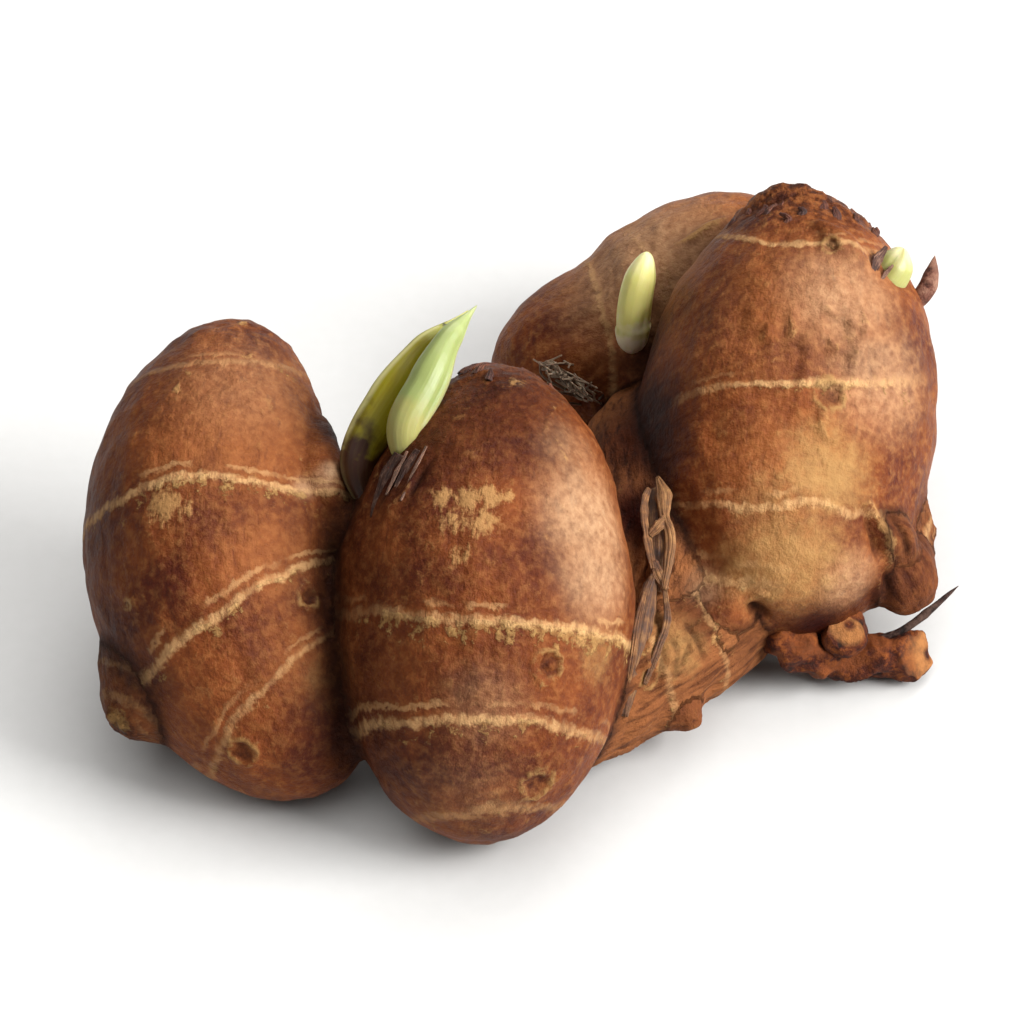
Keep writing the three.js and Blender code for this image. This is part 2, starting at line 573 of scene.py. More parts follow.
@dataclass(frozen=True)
class GingerSkin:
    """Fresh ginger cork, grown: thin, satin, blotched orange and plum, finely flecked where it has dried."""

    plum: str = "#4E2014"
    base: str = "#713A1B"
    warm: str = "#8C4C24"
    fleck: str = "#A8703F"
    # Dark brown of pits, scaly tips and fibre gaps, and the painted shade in the creases and furrows:
    dark: str = "#28120B"
    cream: str = "#CDA26E"
    sheath: str = "#9E7B4A"
    rubbed: str = "#AC8450"
    flaked: str = "#A67C4C"
    fibre: str = "#8C5833"
    # Painted light, warmer and paler, partly the skin's own warmer colour:
    tan: str = "#9A6036"
    shade_and_maturity: str = "#8E6052"  # what skin is multiplied by for maturity and painted shade
    shade_and_discolour: str = "#6A3A2C"  # what skin is multiplied by for painted shade and discolouring
    painted_sheen: str = "#C8A47E"  # the painted sheen, a pale highlight on the lit flanks
    blotch_size: float = 5.0  # millimetres
    mottle_size: float = 0.6  # millimetres
    streaks: float = 1.7  # to the millimetre, across the grain
    streak_draw: float = 0.2  # how many there are along the grain, against across it
    flakes: float = 0.85  # to the millimetre
    line_width: float = 0.19  # half the width of a leaf-scar line, in millimetres
    second_line: float = 0.85  # how far above it a second one lies, in millimetres

    def material(self) -> bpy.types.Material:
        """Makes the finish.

        Returns:
            The material, following the stored grain, rings, marks, worn places and painted shade, light and
            sheen.
        """
        material, add = new_material("ginger_cork_grown", IOR=1.38, Specular_IOR_Level=0.13)
        cues = self._cues(add)
        colour = self._weather(add, cues, self._cork(add, cues))
        colour, torn, peeled = self._tear(add, cues, colour)
        colour, line = self._line(add, cues, colour)
        colour = self._scar(add, cues, colour)
        height = self._relief(add, cues, torn, peeled, line)
        rough = add("MapRange", cues.mottle, 0.3, 0.7, 0.38, 0.54)
        dull = add("Math", line, torn, operation="MAXIMUM")
        dull = add("Math", dull, cues.marks.outputs["Y"], operation="MAXIMUM")
        dull = add("Math", dull, cues.shade_and_rubbing.outputs["X"], operation="MAXIMUM")
        rough = add("Math", dull, 0.25, rough, operation="MULTIPLY_ADD")
        return wear_surface(material, colour, rough, height)

    def _cues(self, add: AddNode) -> SkinCues:
        """Adds the nodes that the rest of the finish follows.

        Args:
            add: What adds a node to the material.

        Returns:
            The nodes.
        """
        places = add("VectorMath", add("TexCoord").outputs["Object"], (1 / MM,) * 3, operation="MULTIPLY")
        grain = add("Attribute", attribute_name="grain").outputs["Vector"]
        stored = [
            add("SeparateXYZ", add("Attribute", attribute_name=name).outputs["Vector"])
            for name in ("ring", "marks", "shade_and_rubbing", "tone", "painted_sheen")
        ]
        drawn = add("VectorMath", grain, (1.0, 1.0, self.streak_draw), operation="MULTIPLY")
        return SkinCues(
            *stored,
            blotch=add("TexNoise", places, Scale=1 / self.blotch_size, Detail=4.0, Roughness=0.55),
            mottle=add("TexNoise", places, Scale=1 / self.mottle_size, Detail=4.0, Roughness=0.6),
            streak=add("TexNoise", drawn, Scale=self.streaks, Detail=4.0, Roughness=0.65),
            flake=add("TexNoise", places, Scale=self.flakes, Detail=6.0, Roughness=0.7),
        )

    def _cork(self, add: AddNode, cues: SkinCues) -> Node:
        """Colours the cork of the lobes, and the coarse fibre of the old root stock.

        Args:
            add: What adds a node to the material.
            cues: What the finish follows.

        Returns:
            The colour so far.
        """
        # Broad blotches, then fine mottle, warm painted light, dark streaks along the grain and pale dry
        # flecks.
        colour = add("ValToRGB", cues.blotch, stops=((0.36, self.plum), (0.48, self.base), (0.64, self.warm)))
        fine = add("ValToRGB", cues.mottle, stops=((0.34, self.plum), (0.48, self.base), (0.66, self.fleck)))
        colour = add("MixRGB", 0.36, colour, fine)
        speckled = add("MapRange", cues.mottle, 0.3, 0.7, 0.35, 0.75)
        glow = add("Math", cues.tone.outputs["Y"], speckled, operation="MULTIPLY")
        colour = add("MixRGB", glow, colour, self.tan)
        colour = add("MixRGB", add("MapRange", cues.streak, 0.46, 0.28, 0.0, 0.5, **EASED), colour, self.plum)
        colour = add("MixRGB", add("MapRange", cues.flake, 0.56, 0.72, 0.0, 0.4, **EASED), colour, self.fleck)

        # Old root stock: coarse orange-brown fibre with dark gaps.
        gaps = add("MapRange", cues.streak, 0.3, 0.56, 0.22, 1.0, **EASED)
        fibrous = add("MixRGB", gaps, self.dark, self.fibre)
        old = add("Math", cues.marks.outputs["Y"], 0.75, operation="MULTIPLY")
        return add("MixRGB", old, colour, fibrous)

    def _weather(self, add: AddNode, cues: SkinCues, colour: Node) -> Node:
        """Rubs the skin, and paints shade on it with its maturity and discolouring, and a pale sheen.

        Args:
            add: What adds a node to the material.
            cues: What the finish follows.
            colour: The colour so far.

        Returns:
            The colour with these on it.
        """
        # Rubbed places show the yellow-tan layer under the cork.
        uneven = add("MapRange", cues.flake, 0.3, 0.7, -0.25, 0.25)
        ragged = add("Math", cues.shade_and_rubbing.outputs["Y"], uneven, operation="ADD")
        colour = add("MixRGB", add("MapRange", ragged, 0.05, 1.0, 0.0, 0.85, **EASED), colour, self.rubbed)

        # Lobes in less light get painted shade, with maturity; gaps and undersides more, partly real
        # discolouring.
        colour = add("MixRGB", cues.tone.outputs["X"], colour, self.shade_and_maturity, blend_type="MULTIPLY")
        colour = add("MixRGB", cues.tone.outputs["Z"], colour, self.shade_and_discolour, blend_type="MULTIPLY")

        # Painted sheen, a pale highlight on the lit flanks, strongest on the small lumps.
        lumps = add("MapRange", cues.mottle, 0.3, 0.64, 0.35, 0.8)
        sheened = add("Math", cues.painted_sheen.outputs["X"], lumps, operation="MULTIPLY")
        return add("MixRGB", sheened, colour, self.painted_sheen)

    def _tear(self, add: AddNode, cues: SkinCues, colour: Node) -> tuple[Node, Node, Node]:
        """Leaves dry sheath below the rings, and flakes of it elsewhere, with crisp torn edges.

        Args:
            add: What adds a node to the material.
            cues: What the finish follows.
            colour: The colour so far.

        Returns:
            The colour with these on it, how much sheath hangs below a ring, and how much is flaked.
        """
        below = add("MapRange", cues.ring.outputs["X"], -1.8, -0.2, 0.0, 1.0, **EASED)
        above = add("MapRange", cues.ring.outputs["X"], 0.0, 0.1, 1.0, 0.0)
        hung = add("Math", below, above, operation="MULTIPLY")
        hung = add("Math", hung, cues.ring.outputs["Z"], operation="MULTIPLY")
        hung = add("Math", hung, cues.ring.outputs["Y"], operation="MULTIPLY")
        torn = add("Math", hung, add("MapRange", cues.flake, 0.35, 0.65, -0.45, 0.45), operation="ADD")
        torn = add("MapRange", torn, 0.42, 0.58, 0.0, 1.0, **EASED)
        torn = add("Math", torn, add("MapRange", cues.mottle, 0.35, 0.6, 0.35, 1.0), operation="MULTIPLY")
        colour = add("MixRGB", add("Math", torn, 0.8, operation="MULTIPLY"), colour, self.sheath)
        threads = add("Math", cues.streak, cues.mottle, operation="ADD")
        threads = add("Math", threads, 0.5, operation="MULTIPLY")
        edged = add("MapRange", threads, 0.36, 0.64, -0.5, 0.4)
        edged = add("Math", cues.shade_and_rubbing.outputs["Z"], edged, operation="ADD")
        peeled = add("MapRange", edged, 0.35, 0.95, 0.0, 1.0, **EASED)
        colour = add("MixRGB", add("Math", peeled, 0.8, operation="MULTIPLY"), colour, self.flaked)
        return colour, torn, peeled

    def _line(self, add: AddNode, cues: SkinCues, colour: Node) -> tuple[Node, Node]:
        """Draws each ring's cream line, ragged and broken, with a second thin line here and there above it.

        Args:
            add: What adds a node to the material.
            cues: What the finish follows.
            colour: The colour so far.

        Returns:
            The colour with the lines on it, and how strong they are.
        """
        ragged = add("MapRange", cues.mottle, 0.3, 0.7, -0.2, 0.2)
        broken = add("MapRange", cues.streak, 0.38, 0.58, 0.45, 1.0, **EASED)
        strayed = add("Math", cues.ring.outputs["X"], ragged, operation="ADD")
        gap = add("Math", strayed, operation="ABSOLUTE")
        main = add("MapRange", gap, self.line_width * 2.2, self.line_width * 0.4, 0.0, 1.0, **EASED)
        main = add("Math", main, broken, operation="MULTIPLY")
        second_gap = add("Math", strayed, self.second_line, operation="SUBTRACT")
        second_gap = add("Math", second_gap, operation="ABSOLUTE")
        second = add("MapRange", second_gap, 0.26, 0.06, 0.0, 1.0, **EASED)
        second = add("Math", second, add("MapRange", cues.blotch, 0.5, 0.58, 0.0, 0.6), operation="MULTIPLY")
        line = add("Math", main, second, operation="MAXIMUM")
        line = add("Math", line, cues.ring.outputs["Y"], operation="MULTIPLY")
        return add("MixRGB", add("Math", line, 0.75, operation="MULTIPLY"), colour, self.cream), line

    def _scar(self, add: AddNode, cues: SkinCues, colour: Node) -> Node:
        """Colours the scars and the scaly tips, and paints shade into the creases and furrows.

        Args:
            add: What adds a node to the material.
            cues: What the finish follows.
            colour: The colour so far.

        Returns:
            The colour with these on it.
        """
        # A scar has a pale, broken rim, one radius out, round a dark pit.
        rim_gap = add("Math", cues.marks.outputs["X"], 1.0, operation="SUBTRACT")
        rim_gap = add("Math", rim_gap, operation="ABSOLUTE")
        rim = add("MapRange", rim_gap, 0.4, 0.05, 0.0, 0.6, **EASED)
        rim = add("Math", rim, add("MapRange", cues.flake, 0.42, 0.56), operation="MULTIPLY")
        colour = add("MixRGB", rim, colour, self.sheath)
        pit_gap = add("Math", cues.marks.outputs["X"], 0.4, operation="SUBTRACT")
        pit_gap = add("Math", pit_gap, operation="ABSOLUTE")
        pit = add("MapRange", pit_gap, 0.5, 0.1, 0.0, 0.6, **EASED)
        pit = add("Math", pit, add("MapRange", cues.mottle, 0.35, 0.6, 1.0, 0.4), operation="MULTIPLY")
        colour = add("MixRGB", pit, colour, self.dark)

        # Growing tips have dark scales, and the creases and furrows get painted shade.
        scaly = add("MapRange", cues.mottle, 0.4, 0.62, 0.75, 0.1, **EASED)
        scaly = add("Math", cues.marks.outputs["Z"], scaly, operation="MULTIPLY")
        colour = add("MixRGB", scaly, colour, self.dark)
        shade = add("MapRange", cues.mottle, 0.3, 0.7, 0.95, 0.7)
        shade = add("Math", cues.shade_and_rubbing.outputs["X"], shade, operation="MULTIPLY")
        return add("MixRGB", shade, colour, self.dark)

    def _relief(self, add: AddNode, cues: SkinCues, torn: Node, peeled: Node, line: Node) -> Node:
        """Raises pores, lengthwise wrinkles, torn edges, and coarse fibre on the old parts.

        Args:
            add: What adds a node to the material.
            cues: What the finish follows.
            torn: How much sheath hangs below a ring.
            peeled: How much of it is flaked.
            line: How strong the rings' lines are.

        Returns:
            The relief, in millimetres.
        """
        coarse = add("Math", cues.marks.outputs["Y"], cues.marks.outputs["Z"], operation="ADD")
        coarse = add("Math", coarse, 0.25, 0.08, operation="MULTIPLY_ADD")
        height = add("Math", cues.streak, coarse, operation="MULTIPLY")
        edges = ((torn, 0.05), (peeled, 0.05), (line, 0.05))
        for pattern, raised in ((cues.mottle, 0.11), *edges, (cues.flake, 0.34)):
            height = add("Math", pattern, raised, height, operation="MULTIPLY_ADD")
        return height


class ShootAge(Enum):
    """How green a shoot is: its colours at the base, in the middle, at the tip, and along its open edge."""

    # The outer shoot's dark brown base is partly painted shade, where it stands in the gap between the lobes.
    OUTER = ("#3C1E10", "#90820C", "#B6B44E", "#D8D092")
    INNER = ("#9C9658", "#8A9456", "#A0A874", "#B0AA7C")
    BACK = ("#F2E6CC", "#E2DA80", "#E8E0A4", "#B8B25C")
    BUD = ("#6A5430", "#9C9A58", "#C4BC8E", "#8A8444")


@dataclass(frozen=True)
class FreshShoot:
    """Young rolled leaf, grown: moist and smooth, faintly veined, with light shining a little way in."""

    age: ShootAge
    hole: str = "#1E2006"  # painted shade inside the small hole, which is not cut into the leaf
    veins: float = 7.0  # to each radian round the shoot
    cloud: float = 0.7  # to the millimetre

    def material(self) -> bpy.types.Material:
        """Makes the finish.

        Returns:
            The material, which follows the shoot's leaf attribute: its share, its turn and its open edge.
        """
        material, add = new_material(
            "fresh_shoot_rolled_" + self.age.name.lower(),
            IOR=1.42,
            Subsurface_Weight=0.3,
            Subsurface_Scale=0.0015,
            Subsurface_Radius=(0.6, 1.0, 0.3),
        )
        base, middle, tip, edge = self.age.value
        leaf = add("SeparateXYZ", add("Attribute", attribute_name="leaf").outputs["Vector"])
        drawn = add("Math", leaf.outputs["X"], 0.6, operation="MULTIPLY")
        along = add("CombineXYZ", leaf.outputs["Y"], 0.0, drawn)
        vein = add("TexNoise", along, Scale=self.veins, Detail=3.0, Roughness=0.6)
        places = add("VectorMath", add("TexCoord").outputs["Object"], (1 / MM,) * 3, operation="MULTIPLY")
        cloud = add("TexNoise", places, Scale=self.cloud, Detail=3.0, Roughness=0.5)
        drift = add("Math", add("MapRange", cloud, 0.3, 0.7, -0.09, 0.09), leaf.outputs["X"], operation="ADD")
        colour = add("ValToRGB", drift, stops=((0.27, base), (0.42, middle), (0.72, middle), (0.95, tip)))
        fresh = add("MapRange", drift, 0.28, 0.4, 0.15, 1.0)
        veined = add("Math", add("MapRange", vein, 0.45, 0.7, 0.0, 0.16), fresh, operation="MULTIPLY")
        colour = add("MixRGB", veined, colour, tip)
        edged = add("MapRange", leaf.outputs["Z"], 0.3, 1.0, 0.0, 0.8)
        edged = add("Math", edged, fresh, operation="MULTIPLY")
        colour = add("MixRGB", edged, colour, edge)
        # Painted shade where the small hole is.
        colour = add("MixRGB", add("MapRange", leaf.outputs["Z"], -0.1, -0.8, 0.0, 0.9), colour, self.hole)
        height = add("Math", cloud, 0.05, operation="MULTIPLY")
        height = add("Math", vein, 0.03, height, operation="MULTIPLY_ADD")
        return wear_surface(material, colour, add("MapRange", cloud, 0.3, 0.7, 0.34, 0.46), height)


class BarkAge(Enum):
    """How a root's bark has aged: its colours between lumps, on its sides, on the lumps and on a cut face."""

    YOUNG = ("#3A2018", "#6E4538", "#96705C", "#96705C")
    DRIED = ("#1C0A05", "#481D0D", "#80441C", "#A46C3C")
    WITHERED = ("#140B08", "#32201A", "#5A443A", "#5A443A")


@dataclass(frozen=True)
class RootBark:
    """Root bark, grown and dried: rough and fibrous, paler on the lumps and nearly black between them."""

    age: BarkAge
    grit: float = 1.3  # to the millimetre
    knobs: float = 0.5  # to the millimetre

    def material(self) -> bpy.types.Material:
        """Makes the finish.

        Returns:
            The material, which follows the bark attribute: the share, how far out, and the cut face.
        """
        material, add = new_material("root_bark_" + self.age.name.lower(), IOR=1.4, Specular_IOR_Level=0.25)
        dark, side, lump, cut = self.age.value
        places = add("VectorMath", add("TexCoord").outputs["Object"], (1 / MM,) * 3, operation="MULTIPLY")
        bark = add("SeparateXYZ", add("Attribute", attribute_name="bark").outputs["Vector"])
        grit = add("TexNoise", places, Scale=self.grit, Detail=6.0, Roughness=0.7)
        knob = add("TexNoise", places, Scale=self.knobs, Detail=2.0, Roughness=0.5)
        colour = add("ValToRGB", grit, stops=((0.36, dark), (0.5, side), (0.66, lump)))
        colour = add("MixRGB", add("MapRange", knob, 0.5, 0.62, 0.0, 0.5, **EASED), colour, lump)
        inside = add("MapRange", bark.outputs["Y"], 0.95, 0.75, 0.0, 1.0)
        heart = add("MapRange", bark.outputs["Y"], 0.15, 0.4, 0.0, 1.0)
        face = add("Math", inside, heart, operation="MULTIPLY")
        face = add("Math", face, bark.outputs["Z"], operation="MULTIPLY")
        face = add("Math", face, add("MapRange", grit, 0.35, 0.6, 0.55, 0.95), operation="MULTIPLY")
        colour = add("MixRGB", face, colour, cut)
        height = add("Math", knob, 0.2, operation="MULTIPLY")
        height = add("Math", grit, 0.35, height, operation="MULTIPLY_ADD")
        return wear_surface(material, colour, add("MapRange", grit, 0.3, 0.7, 0.62, 0.82), height)


class SheathKind(Enum):
    """What is left of a dried sheath: its colours between the fibres, on the flat and on the folds."""

    STRIP = ("#2A140A", "#6A401E", "#A87A4A")
    SCALE = ("#24120C", "#4E2C1E", "#9A745E")
    CRUST = ("#1E0D08", "#54281A", "#7E4A30")
    FIBRE = ("#4E382A", "#866C56", "#BCA286")


@dataclass(frozen=True)
class PaperySheath:
    """Leaf sheath, dried: a thin papery skin of fine fibres that run along it, pale on the folds."""

    kind: SheathKind
    threads: float = 9.0  # to half the strip's width
    spots: float = 1.2  # to the millimetre

    def material(self) -> bpy.types.Material:
        """Makes the finish.

        Returns:
            The material, which follows the paper attribute: the share, the place across, and how pale.
        """
        name = "papery_sheath_dried_" + self.kind.name.lower()
        material, add = new_material(name, IOR=1.45, Subsurface_Weight=0.05, Subsurface_Scale=0.0005)
        dark, middle, pale = self.kind.value
        paper = add("SeparateXYZ", add("Attribute", attribute_name="paper").outputs["Vector"])
        drawn = add("Math", paper.outputs["X"], 0.25, operation="MULTIPLY")
        along = add("CombineXYZ", paper.outputs["Y"], 0.0, drawn)
        places = add("VectorMath", add("TexCoord").outputs["Object"], (1 / MM,) * 3, operation="MULTIPLY")
        thread = add("TexNoise", along, Scale=self.threads, Detail=4.0, Roughness=0.6)
        spot = add("TexNoise", places, Scale=self.spots, Detail=4.0, Roughness=0.6)
        mixed = add("Math", add("Math", thread, spot, operation="ADD"), 0.5, operation="MULTIPLY")
        colour = add("ValToRGB", mixed, stops=((0.36, dark), (0.5, middle), (0.62, pale)))
        colour = add("MixRGB", add("MapRange", paper.outputs["Z"], 0.0, 1.0, 0.0, 0.7), colour, pale)
        colour = add("MixRGB", add("MapRange", paper.outputs["Z"], 0.0, -1.0, 0.0, 0.8), colour, dark)
        height = add("Math", spot, 0.08, operation="MULTIPLY")
        height = add("Math", thread, 0.12, height, operation="MULTIPLY_ADD")
        return wear_surface(material, colour, add("MapRange", spot, 0.3, 0.7, 0.55, 0.75), height)


# ---- The rhizome --------------------------------------------------------------------------------------


class SkinMap:
    """What each place on the skin belongs to: its lobe, and the nearest ring, scar and creases."""

    RING_REACH = 2.7  # how far from a ring the skin still knows of it, in millimetres
    RING_EASE = 0.7  # over how much of that it fades
    RING_TIE = (0.3, 1.2)  # nothing of a ring shows where the next one is as near, and all of it past this
    FAR = 9.0  # stands for a ring that is nowhere near, in millimetres
    FAR_SCAR = 3.0  # and for such a scar, in radii
    CREVICE = 3.2  # how far the painted shade of a gap between two lobes reaches, in millimetres
    CREVICE_OLD = 1.2  # where one of the two is gnarled
    TIP = (0.87, 0.98)  # where along a lobe its growing tip begins and is in full

    def __init__(
        self,
        places: np.ndarray,
        lobes: Sequence[Lobe],
        scars: Sequence[Scar] = (),
        creases: Sequence[Crease] = (),
    ) -> None:
        """Reads the skin at every place.

        Args:
            places: Places on or near the skin, in metres.
            lobes: The lobes and buds of the rhizome.
            scars: The round marks in its skin.
            creases: The furrows and folds in it.
        """
        swellings = [lobe for lobe in lobes if lobe.skin_of]
        lobes = [lobe for lobe in lobes if not lobe.skin_of]
        self.places = places / MM
        count = len(places)
        beside = [lobe.curve.beside(places) for lobe in lobes]
        depths = np.array([reach - lobe.radius(share) for lobe, (share, _, reach) in zip(lobes, beside)]) / MM
        names = [lobe.name for lobe in lobes]
        for lobe in swellings:
            share, _, reach = lobe.curve.beside(places)
            under = names.index(lobe.skin_of)
            depths[under] = np.minimum(depths[under], (reach - lobe.radius(share)) / MM)
        self.owner = depths.argmin(0)
        ranked = np.argsort(depths, axis=0)[:2]
        nearest, second = np.take_along_axis(depths, ranked, axis=0)
        self.crease = second - nearest
        pick = (self.owner, np.arange(count))
        self.share, self.turn, reach = (np.array(rows)[pick] for rows in zip(*beside))
        reach = reach / MM
        self.along = self.share * np.array([lobe.curve.length / MM for lobe in lobes])[self.owner]
        rows = [(lobe.seed, lobe.gnarl, lobe.crust, lobe.shade_and_maturity) for lobe in lobes]
        seeds, gnarls, crusts, shade_and_maturity = np.array(rows).T
        apart = 9.0 * seeds[self.owner]  # no two lobes share their grain
        to_side, to_front = reach * np.sin(self.turn), reach * np.cos(self.turn)
        self.grain = np.stack([to_side, to_front, self.along + apart], axis=1)
        self.gnarl = gnarls[self.owner]
        self.web = gnarls[ranked].max(0) > 0
        parted = gnarls[ranked].min(0) == 0
        width = np.where(self.web, self.CREVICE_OLD, self.CREVICE)
        # Painted shade in the gap between two lobes, darkest in the gap itself.
        self.crevice = parted * (1.0 - smooth_step(0.0, 1.0, self.crease / width))
        self.tip = crusts[self.owner] * smooth_step(*self.TIP, self.share)
        self.shade_and_maturity = shade_and_maturity[self.owner]
        self._read_rings(lobes)
        self._read_scars(scars)
        self._read_creases(creases)

    def _read_rings(self, lobes: Sequence[Lobe]) -> None:
        """Finds how far each place lies past its nearest ring, how clearly that shows and how torn it is.

        Args:
            lobes: The lobes whose rings these are.
        """
        self.ring = np.full(len(self.places), self.FAR)
        self.torn = np.zeros(len(self.places))
        self.ring_strength = np.zeros(len(self.places))
        second = np.full(len(self.places), self.FAR)
        waver = 0.45 * grain_noise(self.grain, (0.22, 0.22, 0.1), 3.1)
        waver += 0.22 * grain_noise(self.grain, (0.7, 0.7, 0.3), 8.6)
        for index, lobe in enumerate(lobes):
            mine = self.owner == index
            for ring in lobe.rings:
                line = ring.share * lobe.curve.length / MM
                line = line + ring.lean * np.sin(self.turn) + ring.dip * np.cos(self.turn)
                gap = (self.along - line + waver) / ring.width
                away = ring.fade * (1.0 - np.cos(self.turn - math.radians(ring.clearest)))
                nearer = mine & (np.abs(gap) < np.abs(self.ring))
                beaten = np.where(nearer, np.abs(self.ring), np.abs(gap))
                second[mine] = np.minimum(second, beaten)[mine]
                self.ring[nearer] = gap[nearer]
                self.torn[nearer] = ring.torn
                self.ring_strength[nearer] = ring.strength * np.clip(1.0 - away[nearer], 0.0, 1.0)
        near = np.abs(self.ring)
        self.near_ring = 1.0 - smooth_step(self.RING_REACH - self.RING_EASE, self.RING_REACH, near)
        self.near_ring *= smooth_step(*self.RING_TIE, second - near)

    def _read_scars(self, scars: Sequence[Scar]) -> None:
        """Finds how far each place lies from its nearest scar, in radii, and adds up the pits and rims.

        Args:
            scars: The scars.
        """
        self.scar = np.full(len(self.places), self.FAR_SCAR)
        self.pitting = np.zeros(len(self.places))
        rough = 1.0 + 0.3 * grain_noise(self.places, (0.9,) * 3, 2.7)
        rough += 0.25 * grain_noise(self.places, (2.4,) * 3, 5.2)
        for scar in scars:
            gap = np.linalg.norm(self.places - scar.at, axis=1) * rough
            self.scar = np.minimum(self.scar, gap / scar.radius)
            self.pitting -= scar.depth * bell(gap, 0.62 * scar.radius)
            self.pitting += scar.rim * bell(gap - scar.radius, 0.3)
            self.pitting += scar.nub * bell(gap, 0.34 * scar.radius)

    def _read_creases(self, creases: Sequence[Crease]) -> None:
        """Adds up what the furrows and folds do to the skin, the furrows' painted shade and the folds'
        paleness.

        Args:
            creases: The furrows and folds.
        """
        self.furrow = np.zeros(len(self.places))
        self.fold = np.zeros(len(self.places))
        waver = 0.3 * grain_noise(self.places, (0.8,) * 3, 6.4)
        waver += 0.15 * grain_noise(self.places, (2.2,) * 3, 9.1)
        for crease in creases:
            corners = np.array(crease.line)
            margin = 3.0 * crease.width + 0.5
            low, high = corners.min(0) - margin, corners.max(0) + margin
            near = np.all((self.places > low) & (self.places < high), axis=1)
            share, _, reach = Spine(crease.line).beside(self.places[near] * MM)
            shape = bell(reach / MM + waver[near] * crease.width, crease.width)
            shape *= np.sqrt(np.clip(np.sin(np.pi * np.clip(share, 0.0, 1.0)) + 0.1, 0.0, 1.0))
            self.pitting[near] -= crease.depth * shape
            kept = self.furrow if crease.depth > 0 else self.fold
            kept[near] = np.maximum(kept[near], crease.shown * shape)

    def relief(self, shrunk: np.ndarray) -> np.ndarray:
        """Works out the skin's relief.

        Args:
            shrunk: How far each place has shrunk into wrinkles, from 0 to 1.

        Returns:
            How far each place stands proud of the plain body, in millimetres.
        """
        swell = 0.3 * grain_noise(self.places, (0.11,) * 3, 2.0)
        swell += 0.13 * grain_noise(self.places, (0.33,) * 3, 4.0, 2)
        swell += 0.09 * grain_noise(self.places, (0.7,) * 3, 14.0)
        broken = 0.6 + 0.6 * grain_noise(self.grain, (0.9, 0.9, 0.5), 6.0)
        ridge = self.ring_strength * (0.1 * broken * bell(self.ring, 0.3) - 0.12 * bell(self.ring, 1.4))
        wrinkle = (0.07 + 0.3 * shrunk) * grain_noise(self.grain, (0.8, 0.8, 0.2), 1.0, 2)
        knobs = 0.42 * np.abs(grain_noise(self.grain, (0.42, 0.42, 0.2), 5.0, 3))
        knobs += 0.12 * grain_noise(self.grain, (1.3, 1.3, 0.3), 9.0)
        scales = 0.5 * np.abs(grain_noise(self.places, (0.45, 0.45, 0.45), 12.0, 3))
        even = swell + ridge + wrinkle + self.gnarl * (knobs - 0.15) + self.tip * (scales - 0.15)
        return even * np.maximum(smooth_step(0.0, 0.8, self.crease), 0.6 * self.gnarl) + self.pitting

    def patch(self, patches: Sequence[Patch]) -> np.ndarray:
        """Reads how strongly patches show.

        Args:
            patches: Patches of one sort.

        Returns:
            How strongly they show at each place, from 0 to 1.
        """
        total = np.zeros(len(self.places))
        for patch in patches:
            gap = np.linalg.norm(self.places - patch.at, axis=1)
            total = np.maximum(total, patch.strength * (1.0 - smooth_step(0.2, 1.3, gap / patch.radius)))
        return total


